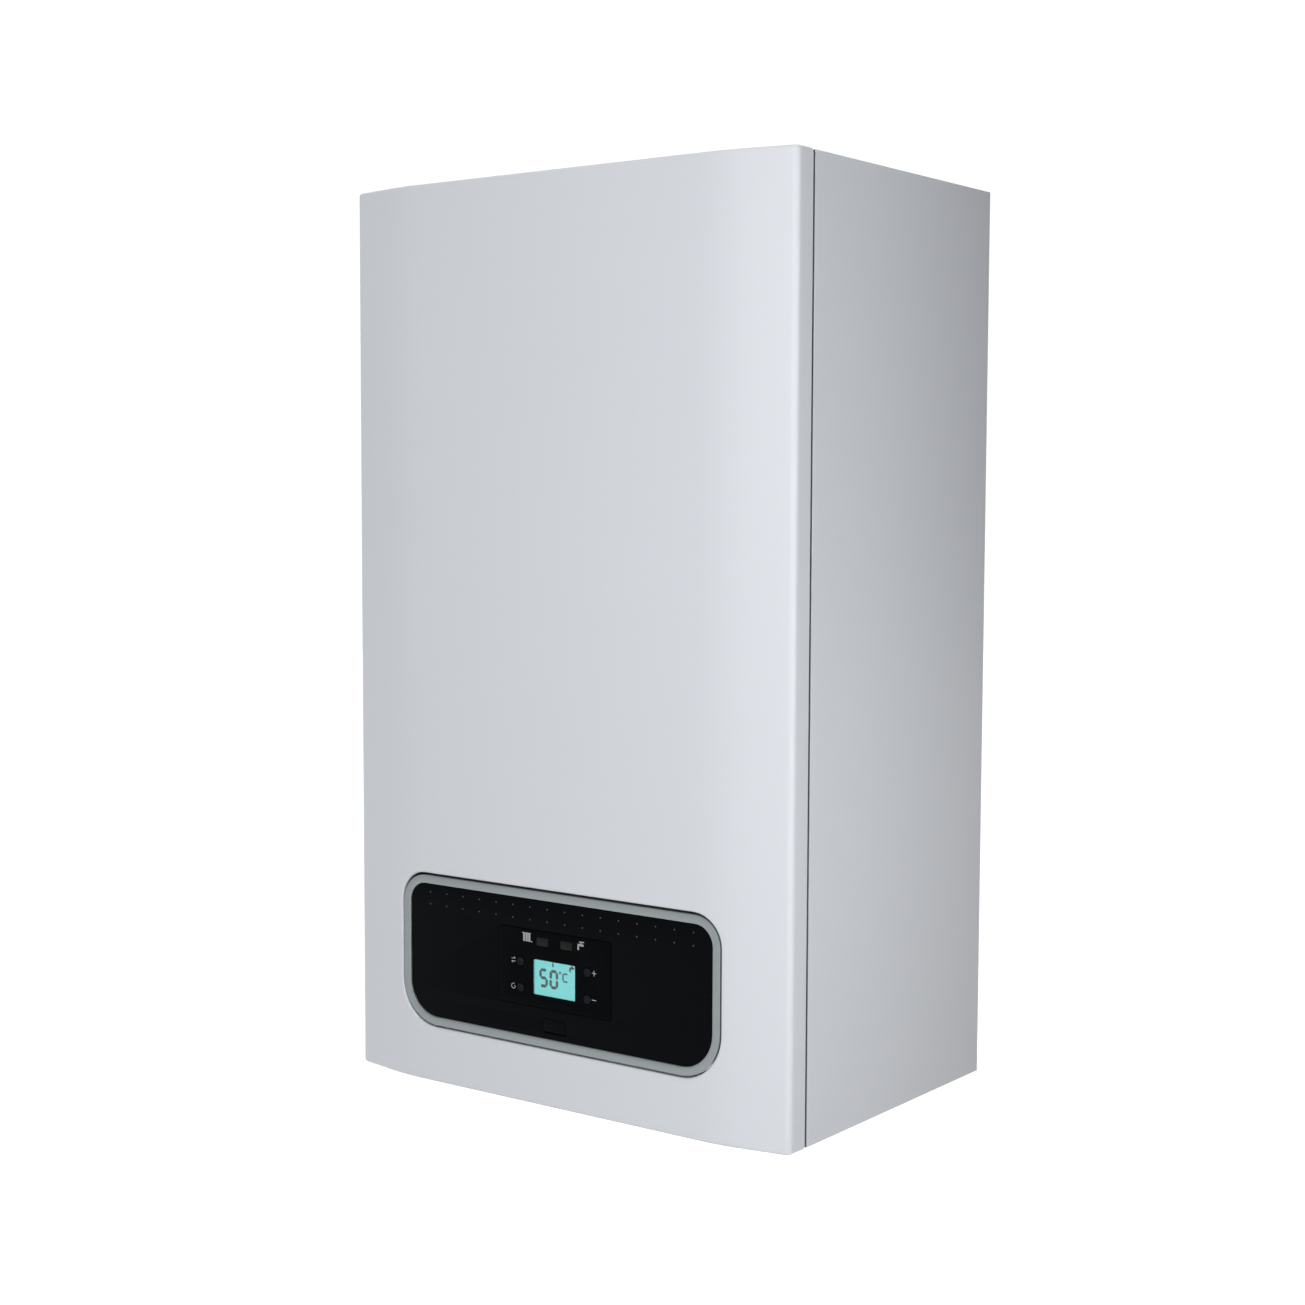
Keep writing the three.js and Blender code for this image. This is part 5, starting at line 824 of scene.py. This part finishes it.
def symbols():
    """Generic pictures printed a little proud: plus, minus, radiator, tap, two arrows, a circling arrow."""
    lines = [stroke((35.9, 87), (39.9, 87), 0.6), stroke((35.9, 107), (39.9, 107), 0.6),
             stroke((37.9, 105.0), (37.9, 106.7), 0.6), stroke((37.9, 107.3), (37.9, 109.0), 0.6)]
    # the radiator's columns, top rail and foot
    lines += [stroke((x, 122.6), (x, 128.6), 1.9) for x in (-29.0, -26.5, -24.0)]
    lines += [stroke((-31.0, 128.9), (-22.6, 128.9), 0.6), stroke((-22.3, 122.9), (-21.2, 122.9), 0.9)]
    # the tap's body, spout, stem and handle
    lines += [stroke((22.4, 126.4), (28.0, 126.4), 1.5), stroke((23.0, 125.9), (23.0, 122.6), 1.5),
              stroke((25.6, 127.1), (25.6, 128.3), 1.0), stroke((23.9, 128.7), (28.4, 128.7), 0.8)]
    # the two arrows for changing over
    lines += [stroke((-41.5, 108.2), (-37.6, 108.2)), stroke((-37.9, 108.4), (-38.9, 109.3)),
              stroke((-41.5, 106.0), (-37.6, 106.0)), stroke((-41.2, 105.8), (-40.2, 104.9))]
    # the circling arrow: a bow of short strokes and its tip
    turn = np.radians(np.linspace(60, 350, 13))
    bow = np.stack([-39.6 + 1.9 * np.cos(turn), 87.0 + 1.9 * np.sin(turn)], axis=-1)
    lines += [stroke(one, two) for one, two in zip(bow, bow[1:])]
    lines.append(stroke((-37.7, 86.6), (-38.8, 87.4)))
    shells = [skin(np.stack([at_depth(flat, OVERLAY_FRONT - 0.1), at_depth(flat, OVERLAY_FRONT + 0.08)]))
              for flat in lines]
    piece("panel_symbols", shells, "control_box", MARK_INK)


def flap():
    """The flap: a leaf over a round knuckle, its section carried across and drawn in at both ends."""
    turn = np.radians(np.linspace(0, -180, 13))
    knuckle = np.stack([KNUCKLE["depth"] + KNUCKLE["radius"] * np.cos(turn),
                        KNUCKLE["height"] + KNUCKLE["radius"] * np.sin(turn)], axis=-1)
    leaf = [(279.3, 65.9), (279.6, LEAF_HIGH), (281.6, LEAF_HIGH), (281.9, 65.8)]
    section = np.concatenate([leaf, knuckle])
    middle = np.array([280.6, 61.5])
    ends = ((LEAF_HALF, (0.82, 0.95)), (LEAF_HALF - 0.15, (0.94, 0.985)), (LEAF_HALF - 0.5, (1.0, 1.0)))
    stations = [(-x, share) for x, share in ends] + [(x, share) for x, share in ends[::-1]]
    rings = []
    for x, share in stations:
        flat = middle + (section - middle) * np.array(share)
        rings.append(np.stack([np.full(len(flat), x), flat[:, 0], flat[:, 1]], axis=-1))
    piece("service_leaf", [skin(np.stack(rings))], "port_flap", "black_plastic", ["service_port_flap"])


rim()
fascia()
dots()
overlay()
display()
buttons()
lamps()
symbols()
flap()


# ---------------------------------------------------------------- inside the case

FLUE_MIDDLE = (0, 140, 0)
WATER_TUBE = 9
GAS_TUBE = 9
GAS_BORE = 7
LINK_TUBE = 8
VESSEL_TUBE = 5
DRAIN_TUBE = 8
MAT_HALF = 130.0
MAT_LOW = 200.0
MAT_HIGH = 650.0
MAT_FRONT = 283.45
MAT_BACK = 279.9


def vessel():
    """Two domed halves of pressed steel that meet in a rolled bead, with the neck below."""
    corners = [(0, 9.5), (130, 9.5), (154, 21.5), (157, 39.8), (160, 41.8), (160, 47.7), (157, 49.7),
               (154, 68.0), (130, 80.0), (0, 80.0)]
    half = rounded(corners, [26, 9, 1.2, 1.2, 1.2, 1.2, 9, 26], 7)
    shells = [turned((0, 0, 500), "out", half, 96), cuff((20, 44.75, 0), "up", 9, 325.3, 348)]
    piece("pressure_vessel", shells, "chassis", "red_paint", ["expansion_vessel"])


def pipes():
    """Every tube as a round section along its route, with its nuts or cuffs."""
    way = [(-118.3, 105, 570), (-178, 105, 570), (-178, 105, 210), (-130, 115, 183), (-130, 115, 150.3)]
    flow = [pipe(way, WATER_TUBE, 22), nut((0, 105, 570), "across", 15, -128.3, -118.3),
            nut((-130, 115, 0), "up", 15, 150.3, 160.3)]
    piece("flow_tube", flow, "chassis", "copper", ["flow_pipe"])
    way = [(150, 105, 262.3), (150, 105, 470), (118.3, 105, 470)]
    back = [pipe(way, WATER_TUBE, 22), nut((150, 105, 0), "up", 15, 262.3, 272.3),
            nut((0, 105, 470), "across", 15, 118.3, 128.3)]
    piece("return_tube", back, "chassis", "copper", ["return_pipe"])
    way = [(0, 115, 4), (0, 115, 218), (36, 181, 250), (36, 181, 287.7)]
    gas = [pipe(way, GAS_TUBE, 22, bore=GAS_BORE), cuff((0, 115, 0), "up", 16, 29.5, 33.2),
           nut((36, 181, 0), "up", 14, 275.7, 287.7), nut((0, 115, 0), "up", 14, 8, 20)]
    piece("gas_tube", gas, "chassis", "copper", ["gas_pipe"])
    way = [(-39.7, 198, 335), (4.7, 198, 335)]
    link = [pipe(way, LINK_TUBE, 10), nut((0, 198, 335), "across", 14, -39.7, -29.7),
            nut((0, 198, 335), "across", 14, -5.3, 4.7)]
    piece("gas_link_tube", link, "chassis", "brass", ["gas_link_pipe"])
    way = [(20, 44.75, 325), (20, 44.75, 160), (118, 44.75, 155), (130, 59.75, 140), (130, 89.7, 140)]
    fill = [pipe(way, VESSEL_TUBE, 12), nut((20, 44.75, 0), "up", 9, 315, 325)]
    piece("vessel_tube", fill, "chassis", "copper", ["vessel_pipe"])
    way = [(40, 105, 404.7), (40, 105, 329.7), (60, 60, 289.7), (172, 42, 212), (172, 42, 182.3)]
    drain = [pipe(way, DRAIN_TUBE, 18), cuff((172, 42, 0), "up", 10.5, 182.3, 194.3),
             cuff((40, 105, 0), "up", 10.5, 392.7, 404.7)]
    piece("condensate_tube", drain, "chassis", "grey_plastic", ["condensate_pipe"])


def flue():
    """The steel spigot and the plastic ring round it: closed sections turned about the flue's middle."""
    corners = [(37.5, 670), (37.5, 662.3), (46, 662.3), (46, 666.3), (40, 666.3), (40, 695), (40.6, 696.5),
               (40.6, 700), (37.5, 700), (37.5, 670)]
    spigot = rounded(corners, [0, 0.6, 0.6, 1.5, 0.5, 0.4, 0.8, 0.6], 3)
    piece("flue_tube", [turned(FLUE_MIDDLE, "up", spigot[:-1], 96, hollow=True)], "chassis", "stainless",
          ["flue_spigot"])
    corners = [(50, 690), (50, 681.4), (52.5, 681.4), (52.5, 691.7), (62, 691.7), (62, 694.2),
               (52.5, 694.2), (52.5, 704), (50, 704), (50, 690)]
    ring = rounded(corners, [0.4, 0.4, 0, 0.8, 0.8, 1.0, 0.9, 0.9], 4)
    piece("flue_ring", [turned(FLUE_MIDDLE, "up", ring[:-1], 96, hollow=True)], "chassis", "dark_plastic",
          ["flue_collar"])


def foam_mat():
    """A glued foam mat: rings from its middle to its edge, low crown, sides that round off and pull in."""
    share = np.concatenate([np.linspace(0.02, 0.9, 12), 1 - 0.1 * np.linspace(0.9, 0, 9) ** 2])
    base = outline(MAT_HALF, MAT_LOW, MAT_HIGH, 10.0, 10.0, 0.0, 8)
    middle = np.array([0.0, (MAT_LOW + MAT_HIGH) / 2])
    rings = []
    for t in share:
        flat = middle + (base - middle) * t
        swell = 0.5 * np.sin(flat[:, 0] / 31.0) * np.sin(flat[:, 1] / 43.0)
        depth = MAT_BACK + 2.6 * max(0.0, (t - 0.9) / 0.1) ** 3 + 0.35 * swell * (1 - t ** 8)
        rings.append(np.stack([flat[:, 0], depth, flat[:, 1]], axis=-1))
    edge = rings[-1].copy()
    edge[:, 1] = MAT_FRONT
    rings.append(edge)
    made = piece("foam_mat", [skin(np.stack(rings))], "cover", "foam", ["cover_foam_pad"])


def seal():
    """A soft strip with an oval section, carried up one side, across the top and down the other."""
    way = [(-186, 253.9, 30), (-186, 253.9, 679.4), (186, 253.9, 679.4), (186, 253.9, 30)]
    places, one, two = route(way, 5, 6)
    turn = np.arange(16) * 2 * math.pi / 16
    rings = (places[:, None] + 1.55 * np.cos(turn)[None, :, None] * one[:, None]
             + 3.0 * np.sin(turn)[None, :, None] * two[:, None])
    piece("case_seal", [skin(rings)], "chassis", "soft_rubber", ["cover_seal"])


def edge_tape():
    """A dark grey strip on both panels' front edges, outside the cover's studs, that paints the shade in
    the seam between cover and panels: a flat section carried up.
    """
    shells = []
    flat = np.array([(200.4, 252.0), (204.0, 252.0), (204.0, 252.7), (200.4, 252.7)])
    for hand in (-1, 1):
        rings = [np.stack([hand * flat[:, 0], flat[:, 1], np.full(4, z)], axis=-1) for z in (1.0, 691.0)]
        shells.append(skin(np.stack(rings)))
    piece("edge_tape", shells, "chassis", SEAM_SHADE)


vessel()
pipes()
flue()
foam_mat()
seal()
# a dark strip laid in each seam between cover and side panel as painted shade
edge_tape()

# the solids that keep their shape, and how far their edges are eased
EASED = {
    "left_side_panel": 0.5, "right_side_panel": 0.5, "top_panel": 0.5, "bottom_tray": 0.5,
    "wall_bracket": 0.4, "back_frame": 0.4, "exchanger_bracket": 0.5, "control_housing": 0.8,
    "control_pcb": 0.2, "cable_gland": 0.5, "heat_exchanger_shell": 0.8, "heat_exchanger_coil": 0.3,
    "burner_door": 0.8, "burner": 0.3, "ignition_electrode": 0.3, "ignition_unit": 1.0, "fan_housing": 1.0,
    "fan_motor": 0.8, "fan_impeller": 0.3, "gas_mixer": 0.8, "premix_duct": 0.8, "air_intake_duct": 0.6,
    "gas_valve": 0.8, "plate_heat_exchanger": 0.8, "flow_manifold": 0.6, "return_manifold": 0.6,
    "diverter_motor": 0.8, "diverter_spindle": 0.3, "safety_valve_knob": 0.6, "fill_tap_knob": 0.6,
    "drain_cock_knob": 0.6, "pressure_sensor": 0.5, "pump_body": 0.9, "pump_motor": 0.9,
    "pump_impeller": 0.3, "air_vent_cap": 0.5, "condensate_trap": 0.7,
}
for node, width in EASED.items():
    eased_copy(node, width)


# ---------------------------------------------------------------- room, light and camera

FLOOR_REACH = 14.0  # metres, as all measures below
FLOOR_HEIGHT = -1.35


def soft_light(name, place, target, width, height, power, spread=180.0):
    """A rectangular lamp at a place, turned to its target and hidden from the camera."""
    lamp = bpy.data.lights.new(name, "AREA")
    lamp.shape = "RECTANGLE"
    lamp.size = width
    lamp.size_y = height
    lamp.energy = power
    lamp.spread = math.radians(spread)
    made = bpy.data.objects.new(name, lamp)
    bpy.context.scene.collection.objects.link(made)
    made.location = place
    made.visible_camera = False
    away = Vector(place) - Vector(target)
    made.rotation_euler = away.to_track_quat("Z", "Y").to_euler()


def pale_floor():
    """A plain disc far below, which lights nothing by itself."""
    turn = np.linspace(0, 2 * math.pi, 64, endpoint=False)
    mesh = bpy.data.meshes.new("studio_floor")
    points = [(FLOOR_REACH * math.cos(t), FLOOR_REACH * math.sin(t), FLOOR_HEIGHT) for t in turn]
    mesh.from_pydata(points, [], [list(range(64))])
    floor = bpy.data.objects.new("studio_floor", mesh)
    bpy.context.scene.collection.objects.link(floor)
    pale = finish("pale_floor", (0.86, 0.86, 0.86), 0.8, grain=(40.0, 0.02), mottle=(2.0, 0.01))
    mesh.materials.append(lit(pale, (1.0, 1.0, 1.0), 0.85))
    floor.visible_diffuse = False


def white_surround():
    """White where it is seen; the light that it gives fades from one side of the room to the other."""
    world = bpy.data.worlds.new("white_surround")
    bpy.context.scene.world = world
    world.use_nodes = True
    nodes = world.node_tree.nodes
    links = world.node_tree.links
    where = nodes.new("ShaderNodeTexCoord")
    aside = nodes.new("ShaderNodeVectorMath")
    aside.operation = "DOT_PRODUCT"
    aside.inputs[1].default_value = (0.95, 0.3, 0.0)
    links.new(where.outputs["Generated"], aside.inputs[0])
    dim = nodes.new("ShaderNodeMapRange")
    dim.inputs["From Min"].default_value = -0.6
    dim.inputs["From Max"].default_value = 0.8
    dim.inputs["To Min"].default_value = 0.58
    dim.inputs["To Max"].default_value = 0.05
    links.new(aside.outputs["Value"], dim.inputs["Value"])
    seen = nodes.new("ShaderNodeLightPath")
    ramp = nodes.new("ShaderNodeMapRange")
    ramp.inputs["To Max"].default_value = 1.05
    links.new(dim.outputs["Result"], ramp.inputs["To Min"])
    links.new(seen.outputs["Is Camera Ray"], ramp.inputs["Value"])
    background = nodes["Background"]
    background.inputs["Color"].default_value = (1.0, 1.0, 1.0, 1.0)
    links.new(ramp.outputs["Result"], background.inputs["Strength"])


def lights():
    """Soft panels: one in front, two at the right, and small fills over, behind and under the case."""
    soft_light("key_panel", (0.5, -2.3, 0.5), (0.0, -0.2, -0.3), 1.6, 1.6, 15.0)
    soft_light("near_panel", (0.6, -1.0, -0.25), (0.1, -0.28, -0.25), 0.5, 1.3, 2.4)
    soft_light("side_panel_light", (0.95, -0.42, -0.25), (0.205, -0.25, -0.25), 0.3, 1.2, 1.15, 80.0)
    soft_light("top_panel_light", (-0.05, 0.0, 1.5), (-0.05, 0.0, 0.0), 0.36, 0.36, 6.0)
    soft_light("back_fill", (-1.7, 1.3, 0.3), (-0.1, 0.0, -0.3), 1.4, 1.4, 16.0)
    soft_light("low_fill", (0.0, 0.3, -1.2), (0.0, -0.1, -0.6), 0.36, 0.36, 2.0)


def camera():
    """The photograph's own view: place, heading, dip and tilt worked out from its straight edges."""
    heading = math.radians(-36.668)
    dip = math.radians(-4.29)
    tilt = math.radians(0.200)
    ahead = np.array([math.sin(heading) * math.cos(dip), math.cos(heading) * math.cos(dip), math.sin(dip)])
    right = np.array([math.cos(heading), -math.sin(heading), 0.0])
    up = np.cross(right, ahead)
    tilted_right = math.cos(tilt) * right + math.sin(tilt) * up
    tilted_up = -math.sin(tilt) * right + math.cos(tilt) * up
    lens = bpy.data.cameras.new("photo_camera")
    lens.sensor_width = 36.0
    lens.lens = 58.3
    made = bpy.data.objects.new("photo_camera", lens)
    bpy.context.scene.collection.objects.link(made)
    seat = Matrix((tilted_right, tilted_up, -ahead)).transposed().to_4x4()
    seat.translation = Vector((0.9843, -1.4829, -0.182))
    made.matrix_world = seat
    bpy.context.scene.camera = made


pale_floor()
white_surround()
lights()
bpy.context.scene.view_settings.view_transform = "Standard"
camera()
